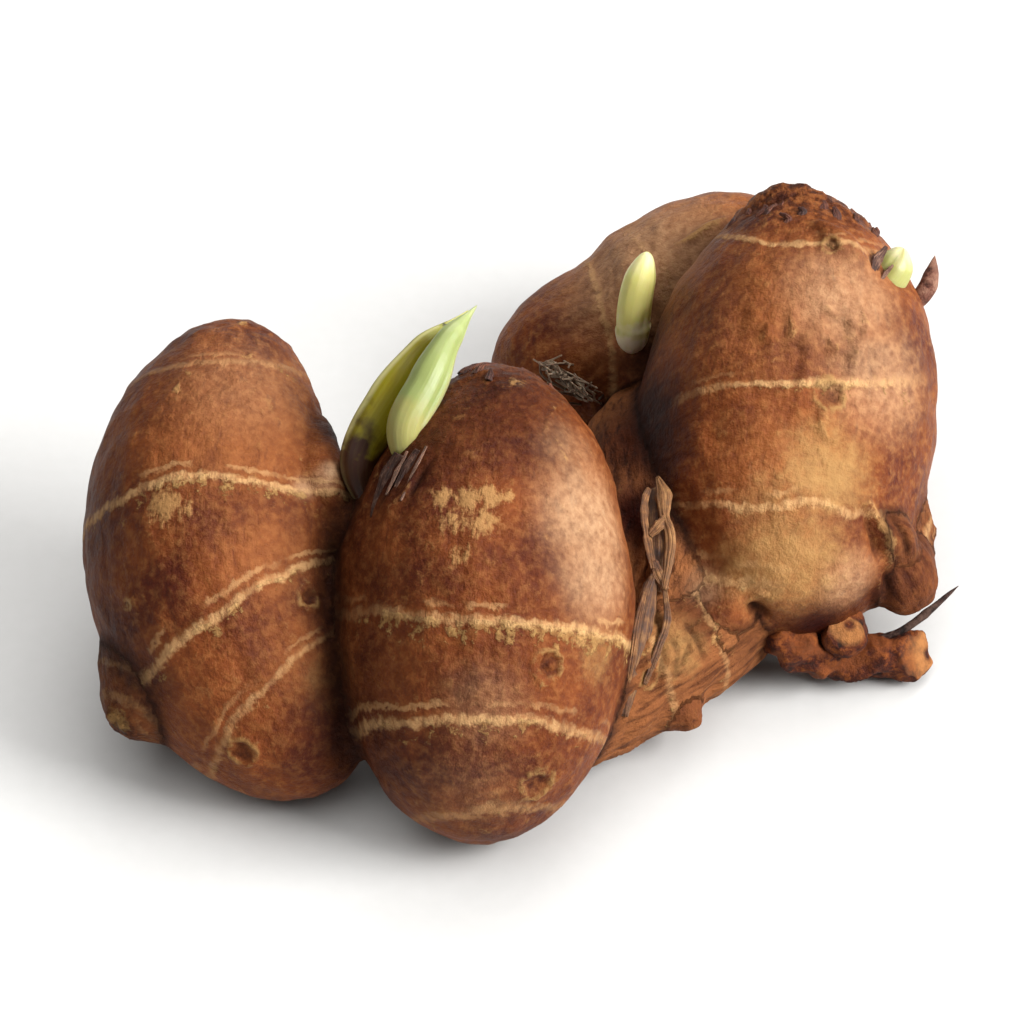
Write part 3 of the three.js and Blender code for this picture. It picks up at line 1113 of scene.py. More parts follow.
@dataclass
class Rhizome:
    """The rhizome: one body of plump lobes, with the marks of leaves, roots and handling in its skin."""

    voxel: float = 0.38  # size of the faces that the skin is remade with, in millimetres
    around: int = 64  # faces round each lobe before they are joined
    lengthwise: int = 56  # and along it
    smoothings: int = 5  # of the whole skin
    filletings: int = 30  # of the places where the old parts meet the lobes
    fillet_levels: int = 10  # steps from not rounded to fully rounded
    fillet: tuple[float, float] = (0.8, 3.2)  # fully rounded up to this far from a gap, and nothing past that
    fine_ring: float = 0.4  # faces are halved up to this far from a ring, in millimetres,
    fine_strength: float = 0.3  # if the ring shows this clearly,
    fine_scar: float = 1.5  # up to this far from a scar, in radii,
    fine_crease: float = 0.15  # and where a furrow or fold shows more than this
    lobes: tuple[Lobe, ...] = (
        Lobe(
            "front_left",
            (
                (-12.8, -22.7, 3.4), (-17.6, -16.9, 7), (-20.6, -11.9, 10.7), (-21.4, -4.3, 14.5),
                (-19.3, 6.5, 19.4),
            ),
            (8.4, 8.7, 9.2, 8.9, 8.4),
            root_cap=2.6, tip_cap=2.1,
            rings=(
                Ring(0.2, lean=1.9, strength=0.55, torn=0.35),
                Ring(0.362, lean=1.6, dip=0.3),
                Ring(0.553, dip=1.1, strength=0.88, torn=0.5, width=1.1, clearest=5.0),
                Ring(0.84, lean=2.0, dip=0.5, strength=0.35, torn=0.3),
            ),
            crust=0.4, shade_and_maturity=0.25, seed=1.7,
        ),
        Lobe(
            "front_right",
            ((-2.4, -27.5, 3), (-2.8, -22.9, 6.4), (-2.8, -15.6, 12), (-2.3, -9.2, 17.1), (-1.6, -1.2, 22.8)),
            (9.4, 9.8, 10.2, 9.6, 9.0),
            root_cap=2.6, tip_cap=2.1,
            rings=(
                Ring(0.06, lean=0.1, dip=-0.3, strength=0.4, torn=0.3),
                Ring(0.217, lean=-0.5, dip=0.3, strength=0.85, width=1.3, clearest=-5.0, fade=0.6),
                Ring(
                    0.438,
                    lean=-0.6, dip=-0.2, strength=0.85, torn=0.85, width=1.25, clearest=45.0, fade=0.5,
                ),
            ),
            crust=0.6, shade_and_maturity=0.3, seed=5.1,
        ),
        Lobe(
            "right",
            ((15.2, -10.2, 5.9), (17, -5.1, 8.2), (18.5, 3.6, 11.3), (19.4, 10.1, 15.7), (20.1, 17.5, 21.4)),
            (9.8, 10.0, 10.6, 10.1, 9.0),
            root_cap=3.2, tip_cap=2.5,
            rings=(
                Ring(0.05, lean=0.2, dip=0.1, strength=0.9, torn=0.3, width=1.3, clearest=-35.0, fade=2.5),
                Ring(0.236, lean=1.4, dip=-1.7, strength=0.85, torn=0.1, width=0.8, clearest=2.0, fade=1.5),
                Ring(0.532, lean=3.2, dip=-1.3, strength=1.0, torn=0.35, width=1.9, clearest=3.0, fade=2.1),
                Ring(0.88, lean=-0.4, dip=-0.5, strength=0.75, torn=0.2, width=0.8, clearest=-18.0, fade=0.9),
            ),
            crust=1.0, shade_and_maturity=0.1, seed=9.4,
        ),
        Lobe(
            "back", ((-1.9, 13.6, 5.4), (2.9, 15.4, 6.6), (8.3, 17.1, 7.4), (14.9, 18.9, 9.3), (24.5, 18, 9)),
            (7.0, 7.2, 8.2, 8.8, 8.6),
            root_cap=2.3, tip_cap=2.3,
            rings=(
                Ring(0.287, lean=-1.0, dip=-0.2, strength=0.6, torn=0.2),
                Ring(0.52, lean=0.5, strength=0.3, torn=0.3),
                Ring(0.78, lean=0.4),
            ),
            crust=0.3, seed=13.2,
        ),
        Lobe(
            "root_stock",
            ((-1.3, -21.3, 5.1), (4.4, -15.7, 5.1), (9.8, -10.7, 5.1), (14.2, -6.2, 5.1), (16.7, -1.2, 5.1)),
            (5.2, 5.2, 5.2, 5.4, 5.6),
            root_cap=2.6, tip_cap=2.6, rings=(Ring(0.42, strength=0.45), Ring(0.6, strength=0.4)), gnarl=1.0,
            shade_and_maturity=0.2, seed=17.8,
        ),
        Lobe(
            "saddle", ((6.7, -13.7, 6.6), (8.6, -7.2, 7.2), (9.6, 0.3, 7), (10, 11.3, 7)),
            (5.6, 6.6, 7.2, 7.2),
            root_cap=2.4, tip_cap=2.4, gnarl=1.0, seed=21.3,
        ),
        Lobe(
            "collar", ((7.4, -13.6, 6), (11.4, -11, 6), (16.2, -8.6, 5.6)), (3.4, 3.6, 3.4),
            gnarl=1.0, seed=33.0,
        ),
        Lobe(
            "stub", ((9.4, -15.4, 4.4), (11.2, -16.2, 3.7), (12.6, -16.9, 3.2)), (1.8, 1.5, 1.2),
            gnarl=0.7, shade_and_maturity=0.4, seed=34.0,
        ),
        Lobe(
            "flank_swelling",
            ((-14.0, -1.6, 18.2), (-14.2, -4.6, 18.2), (-13.6, -8.0, 18.4), (-12.8, -10.4, 17.8)),
            (1.2, 1.6, 1.8, 1.7),
            skin_of="front_left",
        ),
        Lobe(
            "flank_joint", ((-13.0, -5.0, 14.2), (-12.3, -9.4, 16.0), (-12.3, -12.4, 14.8)), (1.8, 2.4, 2.0),
            skin_of="front_left",
        ),
        Lobe(
            "shoot_seat", ((-6.6, -10.8, 19.4), (-7.6, -10.4, 21.2), (-7.9, -9.8, 22.5)), (1.8, 2.2, 1.9),
            skin_of="front_right",
        ),
        Lobe(
            "right_foot", ((11.9, -8.4, 9.3), (13.6, -9.6, 8.7), (16.4, -10.4, 7.8)), (2.0, 2.7, 2.6),
            skin_of="right",
        ),
        Lobe(
            "bud_seat", ((24.0, 6.8, 19.8), (25.2, 7.4, 20.8), (26.0, 8.0, 21.4)), (1.3, 1.5, 1.2),
            skin_of="right",
        ),
        Lobe(
            "crown_swelling", ((14.8, 15.6, 20.6), (19.4, 15.4, 21.8), (23.0, 13.6, 21.4)), (1.6, 1.9, 1.8),
            skin_of="right",
        ),
        Lobe(
            "crown_ridge", ((20.2, 12.0, 24.4), (22.2, 9.9, 23.8), (24.4, 7.8, 22.3)), (0.8, 1.1, 0.7),
            skin_of="right",
        ),
        Lobe(
            "bud_fold", ((25.0, -6.4, 13.4), (26.0, -6.3, 11.6), (26.4, -5.9, 9.4), (26.2, -5.4, 7.6)),
            (0.8, 1.3, 1.3, 0.9),
            gnarl=0.6, shade_and_maturity=0.3, seed=37.0,
        ),
        Lobe(
            "bud_right_low", ((24.2, -3.6, 8.6), (26.3, -5.6, 6.6), (27.5, -6.8, 4.2)), (2.6, 2.9, 2.4),
            gnarl=0.6, shade_and_maturity=0.5, seed=41.0,
        ),
        Lobe(
            "bud_left", ((-23.2, -13.2, 10), (-25.5, -17.2, 7.4), (-27.6, -20.4, 6)), (3.2, 4.5, 3.6),
            rings=(Ring(0.62, strength=0.35), Ring(0.85, strength=0.3)), gnarl=0.5, crust=1.0, seed=25.0,
        ),
        Lobe(
            "bud_right", ((22, 0, 7.4), (25.6, -1.3, 6.6), (29, -2.6, 5.8)), (3.6, 4.2, 3.4),
            rings=(Ring(0.5), Ring(0.68), Ring(0.86, strength=0.6)), gnarl=0.8, crust=1.0, seed=29.0,
        ),
    )
    # Each scar: its place, the radius of its rim, the depth of its pit, and the heights of its rim and stump.
    scars: tuple[Scar, ...] = (
        Scar((-19.1, -23.9, 8.1), 1.0, 0.25, 0.15, 0.1),
        Scar((-27.0, -16.8, 15.2), 0.45, 0.1, 0.08, 0.15),
        Scar((-14.6, -16.5, 15.6), 0.75, 0.35, 0.2, 0.2),
        Scar((-28.2, -21.0, 7.8), 1.0, 0.5, 0.15),
        Scar((1.6, -23.7, 16.5), 1.0, 0.4, 0.22, 0.6),
        Scar((0.9, -27.9, 9.2), 1.1, 0.25, 0.15, 0.15),
        Scar((21.1, -1.2, 20.0), 1.1, 0.45, 0.22, 0.25),
        Scar((21.5, 9.3, 24.3), 0.65, 0.25, 0.2, 0.35),
        Scar((8.7, -17.0, 8.3), 0.7, 0.3, 0.15, 0.2),
    )
    # Each crease: its line, its depth or, below 0, its height, half its width, and how clearly it shows.
    creases: tuple[Crease, ...] = (
        Crease(
            (
                (23.6, -6.6, 15.1), (24.5, -7.1, 14.1), (25.1, -7.4, 12.8), (25.5, -7.9, 11.4),
                (25.4, -7.8, 9.8),
            ),
            -0.7, 0.5, 1.6,
        ),
        Crease(
            ((23.4, -7.0, 14.4), (23.8, -7.4, 13.4), (24.2, -7.8, 12.4), (24.6, -8.2, 11.0)),
            0.6, 0.35, 1.0,
        ),
        Crease(((25.6, -6.2, 13.2), (26.3, -7.0, 11.8), (26.5, -7.3, 10.2)), 0.45, 0.3, 0.9),
        Crease(((24.6, -8.4, 9.6), (24.7, -8.2, 8.0), (24.8, -7.9, 6.1)), -0.25, 0.22, 0.7),
        Crease(((25.3, -8.1, 9.6), (25.3, -8.0, 8.0), (25.4, -7.8, 6.4)), 0.4, 0.3, 0.9),
        Crease(
            ((10.7, -11.4, 10.6), (11.6, -12.0, 10.2), (12.6, -12.5, 9.7), (13.5, -13.1, 8.7)),
            -0.35, 0.22, 1.0,
        ),
        Crease(((15.6, -11.7, 9.6), (16.3, -11.3, 8.9), (16.9, -11.1, 8.1)), 0.9, 0.5, 1.0),
        Crease(((15.8, -11.6, 10.6), (16.3, -11.6, 10.7), (16.9, -11.5, 10.4)), -0.35, 0.3, 0.9),
        Crease(((9.1, -13.0, 10.3), (9.6, -15.7, 9.1), (9.3, -16.9, 7.8)), 0.35, 0.26, 0.9),
        Crease(((11.0, -13.0, 9.8), (11.9, -13.9, 8.7), (12.5, -14.6, 7.5)), 0.3, 0.24, 0.9),
        Crease(((10.1, -14.2, 9.6), (10.6, -15.3, 8.7), (10.5, -16.3, 7.6)), 0.3, 0.24, 0.8),
        Crease(((10.3, -12.6, 10.5), (9.9, -14.2, 9.9), (9.9, -15.8, 9.0), (9.2, -17.6, 7.4)), 0.4, 0.2, 1.0),
        Crease(((11.8, -12.7, 9.8), (11.5, -14.2, 8.9), (10.9, -15.6, 8.0)), 0.35, 0.18, 0.9),
        Crease(((8.6, -15.0, 9.8), (8.4, -16.6, 8.8), (8.7, -17.6, 7.8)), -0.25, 0.2, 0.8),
        Crease(((10.6, 17.0, 16.7), (13.1, 18.5, 17.4), (15.0, 19.8, 17.4)), -0.4, 0.4, 0.9),
        Crease(((9.6, 14.6, 16.4), (10.9, 15.6, 16.9), (11.8, 16.6, 17.2)), 0.25, 0.25, 0.5),
        Crease(((-9.4, -14.5, 21.4), (-8.0, -13.5, 22.7), (-6.9, -11.8, 23.7)), -0.2, 0.22, 0.6),
        Crease(((-9.8, -13.6, 21.1), (-8.8, -12.1, 22.4), (-7.9, -10.6, 23.1)), 0.3, 0.25, 0.9),
        Crease(((-7.9, -14.2, 22.8), (-7.0, -12.9, 23.4), (-6.0, -11.6, 24.2)), 0.25, 0.25, 0.7),
        Crease(((18.7, 4.4, 23.3), (18.8, 2.2, 22.2), (18.9, 0.4, 21.2)), -0.3, 0.35, 0.6),
        Crease(((19.9, 4.6, 23.3), (20.0, 1.9, 22.4), (20.1, 0.7, 21.4)), 0.22, 0.32, 0.15),
        Crease(((18.0, 3.8, 23.0), (17.9, 1.4, 21.9), (17.9, 0.1, 21.2)), 0.2, 0.3, 0.12),
        Crease(((21.6, 6.2, 23.4), (22.0, 4.0, 22.6), (22.6, 2.0, 21.6)), 0.22, 0.35, 0.2),
        Crease(
            ((20.4, 5.2, 23.3), (21.4, 4.0, 22.9), (22.8, 3.6, 22.3), (24.2, 3.2, 21.4)),
            -0.25, 0.3, 0.55,
        ),
        Crease(((20.6, 2.9, 22.6), (21.8, 1.6, 21.6), (23.4, 1.9, 21.0)), -0.22, 0.28, 0.45),
        Crease(((22.8, 6.0, 22.9), (23.6, 4.4, 22.2), (23.5, 2.4, 21.3)), -0.2, 0.26, 0.45),
        Crease(((17.0, 3.4, 22.5), (16.6, 1.6, 21.6)), -0.2, 0.3, 0.4),
        Crease(((-0.2, -7.5, 25.2), (0.2, -9.2, 25.0), (0.7, -10.9, 24.8)), -0.14, 0.25, 0.4),
        Crease(((2.3, -6.1, 23.9), (1.8, -8.0, 24.4), (1.7, -9.3, 24.6)), -0.14, 0.25, 0.4),
        Crease(((1.7, -9.3, 24.6), (2.6, -10.8, 23.8), (3.3, -11.8, 23.1)), -0.14, 0.25, 0.4),
        Crease(((20.3, -2.3, 19.6), (20.9, -4.0, 18.6), (22.2, -3.6, 18.3)), -0.2, 0.3, 0.5),
    )
    # Each patch, from here on: its place, its radius and how strong it is.
    # Rubbed down to the layer under the cork:
    rubbed: tuple[Patch, ...] = patch_rows(
        (21.0, -5.9, 17.4, 4.4, 0.75), (17.0, -8.0, 16.6, 3.0, 0.45), (18.2, -10.8, 13.0, 5.4, 0.68),
        (15.2, -11.1, 12.6, 3.2, 0.6), (-12.7, -12.4, 14.8, 2.4, 0.5), (5.1, -21.2, 14.9, 2.6, 0.5),
        (10.4, -14.6, 9.0, 3.0, 0.6), (-13.5, -21.0, 12.5, 3.0, 0.4),
    )
    # Flaked, with shreds of dry sheath:
    flaked: tuple[Patch, ...] = patch_rows(
        (-5.3, -14.9, 23.4, 1.1, 1.0), (-3.8, -15.2, 23.7, 1.2, 1.0), (-2.3, -15.1, 23.8, 1.2, 1.0),
        (-1.2, -15.0, 23.8, 0.8, 0.8), (-4.6, -16.6, 22.9, 1.5, 0.85), (-2.8, -16.8, 23.0, 1.7, 0.85),
        (-4.2, -18.8, 21.8, 1.5, 0.65), (-10.2, -10.3, 20.8, 0.8, 0.45), (-24.2, -12.4, 20.2, 1.9, 0.9),
        (-22.9, -12.7, 20.0, 1.4, 0.8), (-23.8, -3.3, 22.7, 0.6, 1.0), (-19.0, -0.1, 22.4, 0.6, 1.0),
        (-19.5, 4.1, 21.5, 0.6, 1.0), (-14.2, -7.7, 18.6, 0.5, 1.0), (-15.2, -7.4, 19.5, 0.4, 1.0),
        (-0.4, -5.3, 25.0, 0.9, 0.8), (-27.0, -16.8, 15.2, 0.45, 1.0), (3.9, -21.6, 16.9, 1.3, 0.7),
        (13.3, -13.3, 8.2, 0.8, 0.8),
    )
    # Painted light, lighter and warmer, partly the skin's own warmer colour:
    painted_light_and_warmth: tuple[Patch, ...] = patch_rows(
        (-19.6, -7.0, 22.2, 6.5, 1.0), (-16.3, -3.8, 21.0, 4.5, 0.8), (-16.8, -14.8, 18.2, 5.0, 0.8),
        (-15.4, -19.4, 13.6, 4.5, 0.6), (5.6, -12.8, 20.2, 6.5, 0.9), (4.9, -19.0, 17.6, 4.0, 0.6),
        (18.5, 4.5, 23.0, 8.0, 0.6), (17.5, -6.0, 17.5, 5.0, 0.6), (10.0, 19.0, 17.5, 9.0, 0.9),
        (18.6, -10.8, 12.6, 6.0, 1.0),
    )
    # Painted shade in the gaps and under the lobes, with some real discolouring: darker and redder:
    painted_shade_and_discolour: tuple[Patch, ...] = patch_rows(
        (-29.5, -8.0, 12.0, 9.0, 0.45), (-27.0, -17.0, 9.0, 6.5, 0.6), (12.0, -11.6, 9.6, 2.6, 0.6),
        (-11.5, -13.0, 13.0, 7.0, 0.6), (-7.3, -24.4, 15.4, 4.0, 0.2), (-12.8, -4.0, 18.4, 2.6, 1.0),
        (-10.0, -22.0, 9.0, 6.5, 0.7), (-1.5, -7.5, 25.5, 6.5, 0.6), (-6.5, -11.0, 24.0, 4.0, 0.6),
        (-8.6, -11.4, 22.0, 2.8, 0.8), (0.0, -5.5, 25.4, 5.5, 0.6), (25.5, -1.5, 7.5, 4.5, 0.5),
        (9.0, 1.0, 13.5, 6.6, 0.9), (8.0, -6.0, 12.5, 4.0, 1.0), (9.5, 8.0, 14.0, 4.0, 0.9),
        (20.5, -11.5, 6.6, 3.6, 1.0), (24.0, -9.0, 7.4, 3.0, 0.7), (14.6, -10.4, 6.0, 2.6, 0.6),
        (21.8, 13.5, 27.0, 4.0, 0.5),
    )
    # Painted sheen, a pale highlight on the lit flanks:
    painted_sheen_patches: tuple[Patch, ...] = patch_rows(
        (4.3, -14.2, 20.8, 4.6, 0.68), (4.8, -17.2, 18.8, 4.0, 0.62), (3.2, -10.4, 23.2, 3.0, 0.25),
        (-19.4, -2.0, 22.4, 5.5, 0.15), (8.6, 17.0, 16.0, 7.5, 0.55), (22.0, 5.6, 21.8, 4.6, 0.55),
        (24.8, 1.0, 19.4, 4.8, 0.5), (-3.5, -27.8, 9.0, 4.2, 0.12), (-13.2, -8.4, 19.6, 0.9, 0.9),
        (22.4, -9.8, 10.6, 2.6, 0.45), (12.6, -10.6, 10.8, 1.6, 0.3), (-2.6, -25.4, 14.6, 3.4, 0.2),
        (-13.6, -9.0, 19.4, 1.1, 0.5), (-14.8, -9.6, 19.4, 1.0, 0.6),
    )
    # Gaps between the lobes that get no painted shade:
    opened: tuple[Patch, ...] = patch_rows(
        (12.4, 12.4, 19.6, 6.5, 0.85), (17.0, 20.0, 20.0, 6.0, 0.6), (11.6, -11.0, 9.6, 3.6, 1.0),
        (25.5, -1.5, 7.5, 7.0, 0.85), (-24.0, -15.0, 9.5, 6.0, 0.5),
    )
    # Shrunk into wrinkles:
    shrunk: tuple[Patch, ...] = patch_rows(
        (20.6, 2.4, 22.2, 5.5, 1.0), (24.5, 4.5, 20.5, 4.5, 0.8), (6.0, -12.0, 20.0, 4.0, 0.5),
        (-9.5, -12.0, 16.0, 4.0, 0.8), (13.5, -13.0, 8.0, 4.0, 0.8),
    )

    def build(self) -> bpy.types.Object:
        """Grows the lobes together into one skin and works the relief into it.

        Returns:
            The rhizome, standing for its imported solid.
        """
        piece = joined([lobe.body(self.around, self.lengthwise) for lobe in self.lobes], "rhizome_skin")
        applied(piece, "REMESH", mode="VOXEL", voxel_size=self.voxel * MM)
        applied(piece, "SMOOTH", factor=0.5, iterations=self.smoothings)
        self._fillet(piece)
        self._refine(piece)
        skin = SkinMap(read_places(piece), self.lobes, self.scars, self.creases)
        relief = skin.relief(skin.patch(self.shrunk))
        places = read_places(piece) + read_rows(piece.data.vertices, "normal") * (relief * MM)[:, None]
        places[:, 2] = np.maximum(places[:, 2], 0.0)
        write_places(piece, places)
        self._mark(piece, skin)
        return settled(shaded(piece, GingerSkin().material()), "rhizome")

    def _fillet(self, piece: bpy.types.Object) -> None:
        """Rounds the creases where the old stock, the buds and the folds meet the lobes.

        Args:
            piece: The skin.
        """
        skin = SkinMap(read_places(piece), self.lobes)
        web = (1.0 - smooth_step(*self.fillet, skin.crease)) * skin.web
        group = piece.vertex_groups.new(name="web")
        for level in range(1, self.fillet_levels + 1):
            inside = np.flatnonzero(np.round(web * self.fillet_levels) == level)
            group.add(inside.tolist(), level / self.fillet_levels, "REPLACE")
        applied(piece, "SMOOTH", factor=0.5, iterations=self.filletings, vertex_group=group.name)
        piece.vertex_groups.clear()

    def _refine(self, piece: bpy.types.Object) -> None:
        """Halves the faces along the rings and creases and round the scars, where the relief is finest.

        Args:
            piece: The skin.
        """
        skin = SkinMap(read_rows(piece.data.polygons, "center"), self.lobes, self.scars, self.creases)
        ringed = (np.abs(skin.ring) < self.fine_ring) & (skin.ring_strength > self.fine_strength)
        creased = np.maximum(skin.furrow, skin.fold) > self.fine_crease
        fine = ringed | creased | (skin.scar < self.fine_scar)
        only(piece)
        bpy.context.tool_settings.mesh_select_mode = (False, False, True)
        bpy.ops.object.mode_set(mode="EDIT")
        bpy.ops.mesh.select_all(action="DESELECT")
        bpy.ops.object.mode_set(mode="OBJECT")
        piece.data.polygons.foreach_set("select", fine)
        bpy.ops.object.mode_set(mode="EDIT")
        bpy.ops.mesh.subdivide(number_cuts=1, smoothness=0.0)
        bpy.ops.object.mode_set(mode="OBJECT")

    def _mark(self, piece: bpy.types.Object, skin: SkinMap) -> None:
        """Stores what the finish follows: grain, rings, scars, worn places, and painted shade, light and
        sheen.

        Args:
            piece: The skin.
            skin: What each of its vertices belongs to.
        """
        keep_attribute(piece, "grain", *skin.grain.T)
        shown = skin.near_ring * skin.ring_strength
        keep_attribute(piece, "ring", np.clip(skin.ring, -3, 3), shown, skin.torn)
        keep_attribute(piece, "marks", skin.scar, skin.gnarl, skin.tip)
        # Painted shade in the gaps between lobes and in the furrows:
        dark = np.maximum(skin.crevice * (1.0 - skin.patch(self.opened)), skin.furrow)
        pale = np.maximum(skin.patch(self.flaked), skin.fold)
        keep_attribute(piece, "shade_and_rubbing", dark, skin.patch(self.rubbed), pale)
        # Painted sheen, a pale highlight:
        painted_sheen = skin.patch(self.painted_sheen_patches)
        keep_attribute(piece, "painted_sheen", painted_sheen, painted_sheen, painted_sheen)
        # Maturity with painted shade, warm painted light, and painted shade with discolouring:
        keep_attribute(piece, "tone", skin.shade_and_maturity, skin.patch(self.painted_light_and_warmth), skin.patch(self.painted_shade_and_discolour))


# ---- Shoots, roots and dry sheath ---------------------------------------------------------------------


@dataclass(frozen=True)
class Shoot(Growth):
    """A young shoot: a leaf that is still rolled up, with one open edge that winds round it."""

    FACES = (72, 80)  # round the roll and along it

    age: ShootAge = ShootAge.OUTER
    opening: float = 0.6  # where the open edge is at the base, as a turn from the viewer's side
    twist: float = 0.5  # how far it has turned at the tip
    cuff: float = 0.0  # how far up it a short outer sheath reaches, as a share of its length
    hole: Point | None = None  # where a small hole was eaten into it, shown by painted shade alone

    def _past_edge(self, share: np.ndarray, turn: np.ndarray) -> np.ndarray:
        """How far round the roll each place lies past the open edge, from -pi to pi."""
        return (turn - self.opening - self.twist * share + math.pi) % (2 * math.pi) - math.pi

    def _cuffed(self, share: np.ndarray, turn: np.ndarray) -> np.ndarray:
        """1 where the short outer sheath covers the shoot, and 0 above its uneven edge."""
        return 1.0 - smooth_step(-0.012, 0.012, share - self.cuff - 0.03 * np.sin(turn))

    def _roll(self, share: np.ndarray, turn: np.ndarray) -> np.ndarray:
        """Shapes the roll: the outer turn of the leaf stands proud, and veins run along it.

        Args:
            share: Shares of the way along the shoot.
            turn: The turns round it that go with them.

        Returns:
            What the radius is multiplied by at each.
        """
        past = self._past_edge(share, turn)
        outer_turn = smooth_step(-0.16, 0.04, past) * (1.0 - smooth_step(0.3, 2.9, past))
        return 0.93 + 0.1 * outer_turn + 0.1 * self._cuffed(share, turn) + 0.007 * np.cos(11.0 * turn)

    def build(self) -> bpy.types.Object:
        """Rolls the leaf, and stores on it how its colours run.

        Returns:
            The shoot, with its finish.
        """
        piece = self.body(*self.FACES, self._roll)
        share, turn, _ = self.curve.beside(read_places(piece))
        past = self._past_edge(share, turn)
        cuff_edge = bell((share - self.cuff + 0.02) / 0.03, 1.0) * (self.cuff > 0)
        edge = np.maximum(bell(past - 0.2, 0.24), cuff_edge)
        if self.hole:
            gap = np.linalg.norm((read_places(piece) / MM - self.hole) * (1.0, 0.7, 0.7), axis=1)
            edge -= 2.0 * (1.0 - smooth_step(0.2, 0.36, gap))
        keep_attribute(piece, "leaf", share, np.abs(past), edge)
        piece.name = self.name + "_leaf"
        return settled(shaded(turned_out(piece), FreshShoot(self.age).material()), self.name)


@dataclass
class Shoots:
    """The young shoots."""

    shoots: tuple[Shoot, ...] = (
        Shoot(
            "shoot_front_outer",
            (
                (-10.3, -10.3, 17), (-11.2, -7.6, 19.7), (-9.2, -4.6, 22.6), (-6.9, -1.4, 24.5),
                (-3.8, 1.3, 25.6),
            ),
            (1.4, 1.7, 1.7, 1.2, 0.3),
            age=ShootAge.OUTER, opening=-1.35, twist=0.5, hole=(-5.5, 0.0, 25.9),
        ),
        Shoot(
            "shoot_front_inner",
            ((-7.6, -9.9, 20.8), (-8, -8.1, 23.4), (-6.6, -5.6, 25.3), (-5.2, -2.8, 26.6), (-3.2, 0.2, 27.1)),
            (1.4, 1.5, 1.4, 1.05, 0.35),
            root_cap=4.0, age=ShootAge.INNER, opening=0.9, twist=0.4,
        ),
        Shoot(
            "shoot_back", ((7.8, 12.0, 11.6), (7.7, 11.3, 14.2), (8.0, 12.4, 17), (8.8, 13.7, 19.6)),
            (1.1, 1.25, 1.25, 1.2, 0.95),
            tip_cap=4.0, age=ShootAge.BACK, opening=0.7, twist=0.5, cuff=0.36,
        ),
        Shoot(
            "shoot_bud_right", ((24.4, 8.6, 19.8), (25.8, 9.8, 21.3), (26.6, 10.8, 22.7)),
            (1.4, 1.5, 1.45, 1.2),
            tip_cap=2.4, age=ShootAge.BUD, opening=-0.5, twist=0.5,
        ),
    )

    def build(self) -> list[bpy.types.Object]:
        """Builds the shoots and returns them."""
        return [shoot.build() for shoot in self.shoots]


@dataclass(frozen=True)
class Root(Growth):
    """A root, or what is left of one: knobbly, and cut or broken off at its end."""

    FACES = (48, 96)  # round it and along it
    CUT = 0.92  # how much of what stands past the cut is taken off

    knobs: float = 0.3  # how high its knobs stand, in millimetres
    facing: Point | None = None  # the way its cut face looks, if it was cut
    cut_back: float = 0.6  # how much the cut took off its rounded end, in millimetres
    age: BarkAge = BarkAge.DRIED
    seed: float = 0.0

    def build(self) -> bpy.types.Object:
        """Grows the root, with its knobs and its cut face.

        Returns:
            The root, without its finish.
        """
        piece = self.body(*self.FACES)
        places, normals = read_places(piece), read_rows(piece.data.vertices, "normal")
        share, _, reach = self.curve.beside(places)
        lumps = np.abs(grain_noise(places / MM, (0.42,) * 3, self.seed, 2)) - 0.25
        grit = 0.22 * grain_noise(places / MM, (1.8,) * 3, self.seed + 4.0)
        places += normals * (self.knobs * (1.6 * lumps + grit) * MM)[:, None]
        face = np.zeros(len(places))
        if self.facing:
            way = unit(np.array(self.facing))
            middle = np.array(self.spine[-1]) * MM - way * self.cut_back * MM
            over = (places - middle) @ way
            places -= np.maximum(over, 0.0)[:, None] * way * self.CUT
            face = smooth_step(-0.05, 0.05, over / MM)
        places[:, 2] = np.maximum(places[:, 2], 0.0)
        write_places(piece, places)
        outward = reach / (np.array(self.girth).mean() * MM)
        keep_attribute(piece, "bark", share, outward, face)
        piece.name = self.name + "_bark"
        return turned_out(piece)


